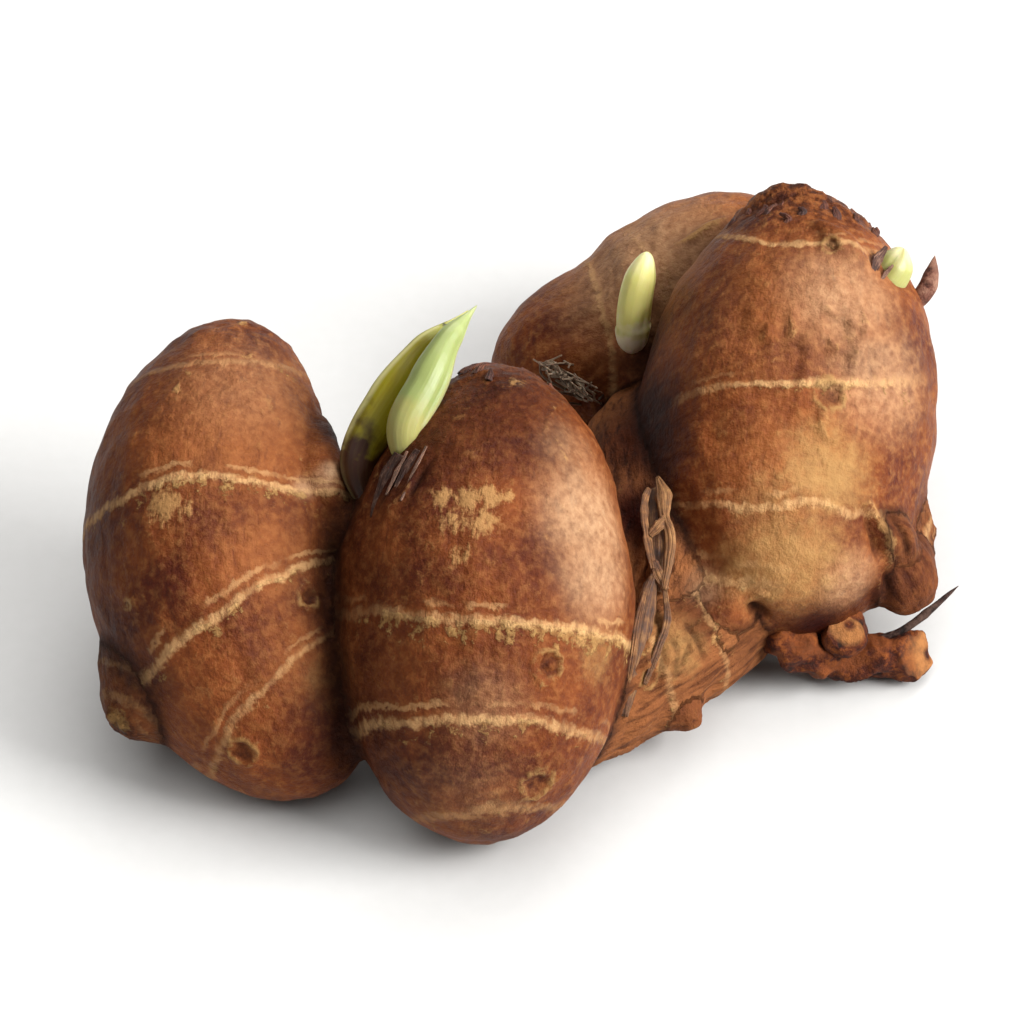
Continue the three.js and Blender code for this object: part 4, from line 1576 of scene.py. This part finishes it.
@dataclass
class Roots:
    """The cut-back roots, and the thin ones that have dried."""

    roots: tuple[Root, ...] = (
        Root(
            "root_stub_thick",
            ((16.4, -8.9, 7.4), (18.9, -10.1, 4.2), (22.2, -9.5, 2.4), (26, -8.9, 1.9), (28.8, -8.7, 1.9)),
            (2.2, 1.9, 1.5, 1.7, 1.6),
            tip_cap=16.0, knobs=0.55, facing=(0.72, -0.5, 0.5), cut_back=0.5, seed=2.0,
        ),
        Root(
            "root_stub_nub", ((21.6, -9.4, 3.2), (22.3, -9.6, 4.9), (22.7, -10.2, 6.4)), (1.4, 1.7, 1.5),
            tip_cap=6.0, knobs=0.3, facing=(0.15, -0.7, 0.7), cut_back=0.3, seed=5.0,
        ),
        Root(
            "rootlet_thin", ((24.2, -8.7, 3), (26.9, -7.9, 3.8), (30.6, -5.1, 5.1)), (0.36, 0.3, 0.22),
            knobs=0.08, age=BarkAge.WITHERED, seed=8.0,
        ),
        Root(
            "root_stub_shoulder", ((27, 10.3, 16.8), (28.5, 11.3, 18.4), (29.1, 13.3, 19.8)),
            (0.85, 0.65, 0.35),
            knobs=0.12, age=BarkAge.YOUNG, seed=11.0,
        ),
        Root(
            "root_stub_under", ((-21.8, -0.9, 8.6), (-22.2, 1.7, 5.8), (-23, 3.5, 3.4)), (1.2, 1.0, 0.8),
            tip_cap=8.0, knobs=0.3, facing=(-0.4, 0.6, -0.7), cut_back=0.2, seed=14.0,
        ),
        Root(
            "root_stub_rear", ((14.2, 23.9, 5.6), (13.6, 26.7, 4.8), (14.4, 28.8, 3.6)), (1.3, 1.0, 0.8),
            tip_cap=8.0, knobs=0.2, facing=(0.2, 0.9, -0.4), cut_back=0.2, seed=17.0,
        ),
    )

    def build(self) -> list[bpy.types.Object]:
        """Builds the roots, dresses them and returns them."""
        barks = {age: RootBark(age).material() for age in BarkAge}
        return [settled(shaded(root.build(), barks[root.age]), root.name) for root in self.roots]


def as_points(rows: Sequence[np.ndarray]) -> tuple[Point, ...]:
    """Rows of numbers as the points of a spine."""
    return tuple(tuple(float(value) for value in row) for row in rows)


@dataclass(frozen=True)
class Blade:
    """A thin dry strip or scale that lies along a spine."""

    GRID = (10, 44)  # faces across it and along it

    spine: tuple[Point, ...]
    widths: tuple[float, ...]  # at even steps along it, in millimetres
    tilt: float = 0.0  # how far it is turned about its spine, in degrees
    cup: float = 0.3  # how far its edges bend away from the viewer, as a share of its width
    pale: float = 0.0  # from -1, dark, to 1, pale
    seed: float = 0.0
    thickness: float = 0.12  # millimetres

    def build(self) -> bpy.types.Object:
        """Lays a fine grid along the spine, frays its edges, and gives it its thickness.

        Returns:
            The strip, with its paper attribute.
        """
        bpy.ops.object.select_all(action="DESELECT")
        bpy.ops.mesh.primitive_grid_add(x_subdivisions=self.GRID[0], y_subdivisions=self.GRID[1], size=2.0)
        piece = bpy.context.object
        flat = read_places(piece)
        across, share = flat[:, 0], (1.0 + flat[:, 1]) / 2.0
        place, side, front = Spine(self.spine).frame(share)
        tilt = math.radians(self.tilt)
        outward = math.cos(tilt) * side + math.sin(tilt) * front
        facing = math.cos(tilt) * front - math.sin(tilt) * side
        steps = np.linspace(0.0, 1.0, len(self.widths))
        edge = np.stack([6.0 * share, np.sign(across), np.zeros(len(share))], axis=1)
        fray = 1.0 + 0.28 * grain_noise(edge, (1.0, 1.0, 1.0), self.seed, 3) * np.abs(across)
        half = np.interp(share, steps, self.widths) * fray * MM / 2.0
        ripple = 0.1 * MM * grain_noise(place / MM, (0.9,) * 3, self.seed + 2.0)
        ripple += 0.04 * MM * np.cos(9.0 * across)
        lift = ripple - self.cup * 2.0 * half * across**2
        write_places(piece, place + outward * (across * half)[:, None] + facing * lift[:, None])
        keep_attribute(piece, "paper", share, across, np.full(len(share), self.pale))
        return applied(piece, "SOLIDIFY", thickness=self.thickness * MM, offset=0.0)


def bladed(blades: Sequence[Blade], name: str, node: str, finish: bpy.types.Material) -> bpy.types.Object:
    """Builds strips or scales as one piece.

    Args:
        blades: The strips or scales.
        name: The piece's name.
        node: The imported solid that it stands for, or nothing.
        finish: What the strips are made of.

    Returns:
        The piece.
    """
    return settled(shaded(joined([blade.build() for blade in blades], name), finish), node)


@dataclass
class DrySheaths:
    """What is left of the leaf sheaths: two strips between the lobes, and scales at three shoots' feet."""

    strip_upper: tuple[Blade, ...] = (
        Blade(
            ((9.2, -4.2, 13.9), (9.3, -6.6, 13.6), (9.4, -9.2, 12.8), (9.2, -11.8, 11.4)),
            (0.9, 2.1, 1.9, 1.3),
            pale=-0.45, seed=1.0,
        ),
        Blade(
            ((8.7, -4.8, 14.4), (8.4, -6.0, 14.2), (8.4, -7.4, 13.8), (8.7, -9.3, 13.1), (8.9, -10.8, 12.6)),
            (0.3, 0.6, 0.5, 0.7, 0.3),
            tilt=30.0, cup=0.15, pale=0.1, seed=2.0,
        ),
        Blade(
            (
                (9.3, -3.9, 14.6), (9.6, -5.4, 14.6), (9.7, -7.0, 14.1), (10.1, -8.5, 13.5),
                (9.9, -10.6, 12.7), (9.6, -12, 11.8),
            ),
            (0.2, 1.2, 0.6, 0.8, 0.55, 0.3),
            tilt=-15.0, cup=0.15, pale=0.35, seed=3.0,
        ),
        Blade(
            ((9.9, -7.2, 14.0), (9.3, -7.9, 13.8), (8.7, -8.4, 13.4)), (0.5, 0.7, 0.4),
            cup=0.1, pale=0.1, seed=4.0,
        ),
        Blade(
            ((8.9, -10.3, 12.8), (9.3, -11.2, 12.3), (9.8, -12.0, 11.7)), (0.5, 0.8, 0.4),
            cup=0.1, pale=-0.2, seed=5.0,
        ),
    )
    strip_lower: tuple[Blade, ...] = (
        Blade(
            ((9.1, -10.9, 12.3), (8.6, -12.7, 11.4), (8.1, -15.1, 10.3), (7.5, -17.3, 8.9), (6.9, -19.5, 7)),
            (0.5, 1.5, 1.7, 1.3, 0.5),
            tilt=15.0, cup=0.25, pale=-0.5, seed=6.0,
        ),
        Blade(
            ((8.3, -12.4, 11.9), (7.8, -14.8, 11.1), (7.4, -17, 9.7), (6.9, -18.8, 8)), (0.2, 0.5, 0.4, 0.2),
            tilt=20.0, cup=0.1, seed=7.0,
        ),
        Blade(
            ((9.7, -11.9, 11.6), (9.9, -13.6, 10.6), (9.3, -15.5, 9.7), (8.3, -17.8, 8.4)),
            (0.3, 0.5, 0.5, 0.2),
            tilt=20.0, cup=0.1, pale=-0.3, seed=8.0,
        ),
    )
    bud_scales: tuple[Blade, ...] = (
        Blade(
            ((-8.5, -10.0, 22.9), (-9.2, -11.0, 22.1), (-9.7, -12.2, 21.4), (-10.3, -13.6, 20.4)),
            (1.0, 1.5, 1.1, 0.2),
            tilt=-40.0, cup=0.15, pale=-0.5, seed=8.0, thickness=0.1,
        ),
        Blade(
            ((-7.2, -10.5, 23.8), (-8.0, -11.6, 23.0), (-8.6, -12.9, 22.4), (-9.2, -14.0, 21.7)),
            (0.5, 0.9, 0.6, 0.1),
            tilt=-38.0, cup=0.15, pale=-0.1, seed=9.0, thickness=0.1,
        ),
        Blade(
            ((-7.9, -10.3, 23.4), (-8.6, -11.5, 22.7), (-9.3, -13.0, 21.9)), (0.12, 0.3, 0.1),
            tilt=-40.0, cup=0.1, pale=0.7, seed=12.0, thickness=0.08,
        ),
        Blade(
            ((-6.6, -10.6, 24.2), (-7.4, -12.2, 23.4), (-8.3, -14.2, 22.6)), (0.1, 0.25, 0.08),
            tilt=-34.0, cup=0.1, pale=0.5, seed=13.0, thickness=0.08,
        ),
    )
    bud_cover: tuple[Blade, ...] = (
        Blade(
            ((24.4, 8.2, 22.6), (24.8, 9.1, 23.0), (25.4, 10.1, 23.4)), (0.5, 0.9, 0.2),
            tilt=-35.0, pale=-0.1, seed=15.0, thickness=0.1,
        ),
        Blade(
            ((25.0, 7.9, 22.2), (25.4, 8.4, 22.5), (25.8, 9.0, 22.7)), (0.2, 0.35, 0.1),
            tilt=-40.0, cup=0.2, pale=0.3, seed=16.0, thickness=0.08,
        ),
    )

    def build(self) -> list[bpy.types.Object]:
        """Builds the strips and scales, and dresses them.

        Returns:
            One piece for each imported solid, and the scales of the bud on the right lobe.
        """
        strip = PaperySheath(SheathKind.STRIP).material()
        scale = PaperySheath(SheathKind.SCALE).material()
        return [
            bladed(self.strip_upper, "sheath_strip_upper_paper", "sheath_strip_upper", strip),
            bladed(self.strip_lower, "sheath_strip_lower_paper", "sheath_strip_lower", strip),
            bladed(self.bud_scales, "bud_scale_front_paper", "bud_scale_front", scale),
            bladed(self.bud_cover, "bud_scale_right_paper", "", scale),
        ]


@dataclass
class TipScales:
    """Small scales that crust the growing tip of a lobe."""

    lobe: str
    count: int
    shares: tuple[float, float]  # how far along the lobe they stand
    turns: tuple[float, float]  # how far round it
    size: tuple[float, float]  # how long they are, in millimetres
    seed: int

    def build(self, lobes: Sequence[Lobe], finish: bpy.types.Material) -> bpy.types.Object:
        """Stands the scales on the lobe, all pointing to its tip.

        Args:
            lobes: The rhizome's lobes, one of which carries the scales.
            finish: What they are made of.

        Returns:
            The scales as one piece.
        """
        lobe = next(each for each in lobes if each.name == self.lobe)
        dice = np.random.default_rng(self.seed)
        scales = []
        for index in range(self.count):
            share = dice.uniform(*self.shares)
            turn = dice.uniform(*self.turns)
            length = dice.uniform(*self.size)
            step = length * MM / lobe.curve.length
            shares = np.array([share, share + 0.5 * step, share + step])
            lifts = np.array([-0.15, 0.15, dice.uniform(0.15, 0.5)]) * MM  # off the skin, from foot to tip
            turns = turn + np.array([0.0, 0.02, dice.uniform(-0.12, 0.12)])
            spine = as_points(lobe.curve.place(shares, turns, lobe.radius(shares) + lifts) / MM)
            width = length * dice.uniform(0.4, 0.9)
            widths = (width, width, 0.7 * width, 0.1)
            pale = dice.uniform(-0.6, 0.3)
            scales.append(Blade(spine, widths, math.degrees(-turn), cup=0.25, pale=pale, seed=index))
        return bladed(scales, f"tip_scales_{self.lobe}", "", finish)


@dataclass
class FibreTuft:
    """Dead root fibres that stand in a loose tuft from the back lobe, behind the tip of the front one."""

    feet: tuple[Point, Point] = ((1.6, 12.2, 10.2), (5.4, 10.0, 8.2))  # the ends of the row they grow from
    tips: tuple[Point, Point] = ((1.0, 10.6, 12.0), (5.2, 8.2, 10.6))  # and of the row they reach
    count: int = 46
    astray: float = 0.5  # how far their ends stray from the rows, in millimetres
    bend: float = 0.4  # how far their middles do
    width: tuple[float, float] = (0.1, 0.26)  # of a fibre at its foot, in millimetres
    thickness: float = 0.06
    seed: int = 11

    def build(self) -> bpy.types.Object:
        """Stands the fibres in their row and bends each one.

        Returns:
            The fibres as one piece.
        """
        dice = np.random.default_rng(self.seed)
        blades = []
        for index in range(self.count):
            rows = np.array((self.feet, self.tips))
            ends = [start + (end - start) * dice.uniform() for start, end in rows]
            foot, tip = (end + dice.normal(0.0, self.astray, 3) for end in ends)
            middle = (foot + tip) / 2.0 + dice.normal(0.0, self.bend, 3)
            wide = dice.uniform(*self.width)
            tilt, pale = dice.uniform(-60, 60), dice.uniform(-0.4, 0.9)
            widths = (wide, 0.8 * wide, 0.05)
            spine = as_points((foot, middle, tip))
            blades.append(Blade(spine, widths, tilt, 0.1, pale, seed=index, thickness=self.thickness))
        return bladed(blades, "stock_fibres", "", PaperySheath(SheathKind.FIBRE).material())


# ---- The setting --------------------------------------------------------------------------------------


@dataclass(frozen=True)
class PaleSurface:
    """Matt white board: even, with a barely visible tooth."""

    tint: str = "#A5A4A2"
    tooth: float = 900.0  # bumps to the metre

    def material(self) -> bpy.types.Material:
        """Makes the finish.

        Returns:
            The material.
        """
        material, add = new_material("matt_board_white", Specular_IOR_Level=0.2)
        tooth = add("TexNoise", add("TexCoord").outputs["Object"], Scale=self.tooth, Detail=2.0)
        colour = add("MixRGB", add("Math", tooth, 0.04, operation="MULTIPLY"), self.tint, "#FFFFFF")
        rough = add("MapRange", tooth, 0.3, 0.7, 0.85, 0.95)
        return wear_surface(material, colour, rough, add("Math", tooth, 0.01, operation="MULTIPLY"))


@dataclass(frozen=True)
class Lamp:
    """A square soft light that is turned to the clump."""

    name: str
    place: Point  # metres
    size: float  # metres
    power: float  # watts

    def hang(self, aim: Point) -> bpy.types.Object:
        """Hangs the light.

        Args:
            aim: The place that it looks at, in metres.

        Returns:
            The light.
        """
        bpy.ops.object.light_add(type="AREA", location=self.place)
        lamp = bpy.context.object
        lamp.name = self.name
        lamp.data.size = self.size
        lamp.data.energy = self.power
        lamp.rotation_euler = (Vector(aim) - lamp.location).to_track_quat("-Z", "Y").to_euler()
        return lamp


@dataclass
class Setting:
    """The board that the clump lies on, the backdrop, soft studio light and the camera, in metres."""

    floor_size: float = 3.0
    floor_drop: float = 0.0001  # how far the board lies under the clump
    lamps: tuple[Lamp, ...] = (
        Lamp("key", (0.5, -0.17, 0.4), 0.36, 9.8),
        Lamp("fill", (-0.4, -0.3, 0.5), 0.5, 0.5),
        Lamp("top", (0.1, 0.4, 0.55), 0.4, 2.7),
    )
    board_lamp: Lamp = Lamp("board_lamp", (0.0, -0.1, 0.9), 1.2, 14.5)  # lights the board and backdrop alone
    surround: float = 0.2  # strength of the white light from all round
    aim: Point = (-0.0008, -0.001185, 0.008485)
    elevation: float = 45.0  # of the camera, in degrees
    distance: float = 0.45
    view_width: float = 0.072  # how much the camera sees across, at the clump
    sensor: float = 36.0  # of the camera, in millimetres

    def build(self) -> None:
        """Lays the board, hangs the lights and sets up the camera."""
        self._lights(self._surfaces())
        self._camera()
        bpy.context.scene.view_settings.view_transform = "Standard"

    def _surfaces(self) -> bpy.types.Collection:
        """Adds the board and the backdrop.

        Returns:
            The collection that holds them.
        """
        board = PaleSurface().material()
        surfaces = bpy.data.collections.new("board")
        for name, place, turn in (
            ("floor", (0, 0, -self.floor_drop), 0.0),
            ("backdrop", (0, self.floor_size / 2, 0), math.pi / 2),
        ):
            bpy.ops.object.select_all(action="DESELECT")
            bpy.ops.mesh.primitive_plane_add(size=self.floor_size, location=place, rotation=(turn, 0, 0))
            surface = bpy.context.object
            surface.name = name
            surface.data.materials.append(board)
            surfaces.objects.link(surface)
        return surfaces

    def _lights(self, surfaces: bpy.types.Collection) -> None:
        """Hangs the lights, the board's own lamp last, and sets a pale surround.

        Args:
            surfaces: What the board's lamp lights.
        """
        for lamp in self.lamps:
            lamp.hang(self.aim)
        self.board_lamp.hang(self.aim).light_linking.receiver_collection = surfaces
        world = bpy.data.worlds.new("pale_surround")
        world.use_nodes = True
        background = world.node_tree.nodes["Background"]
        background.inputs["Color"].default_value = linear("#FFFFFF")
        background.inputs["Strength"].default_value = self.surround
        bpy.context.scene.world = world

    def _camera(self) -> None:
        """Looks down on the clump from the front."""
        tilt = math.radians(self.elevation)
        back = Vector((0.0, -math.cos(tilt), math.sin(tilt)))
        bpy.ops.object.camera_add(location=Vector(self.aim) + back * self.distance)
        camera = bpy.context.object
        camera.rotation_euler = (-back).to_track_quat("-Z", "Y").to_euler()
        camera.data.sensor_width = self.sensor
        camera.data.lens = self.sensor * self.distance / self.view_width
        bpy.context.scene.camera = camera


def report(pieces: Sequence[bpy.types.Object]) -> None:
    """Logs each piece and how many faces it has."""
    for piece in pieces:
        LOG.info("%s: %d faces", piece.name, len(piece.data.polygons))


def main() -> None:
    """Builds the clump and its setting."""
    logging.basicConfig(level=logging.INFO, format="%(name)s: %(message)s")
    rhizome = Rhizome()
    report([rhizome.build()])
    report(Shoots().build())
    report(Roots().build())
    report(DrySheaths().build())
    crust = PaperySheath(SheathKind.CRUST).material()
    for scales in (
        TipScales("right", 34, shares=(0.9, 0.98), turns=(-2.4, 2.4), size=(0.5, 1.3), seed=3),
        TipScales("front_right", 14, shares=(0.93, 0.985), turns=(-1.4, 2.4), size=(0.4, 1.0), seed=5),
    ):
        report([scales.build(rhizome.lobes, crust)])
    report([FibreTuft().build()])
    Setting().build()
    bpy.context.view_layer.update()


if __name__ == "__main__":
    main()
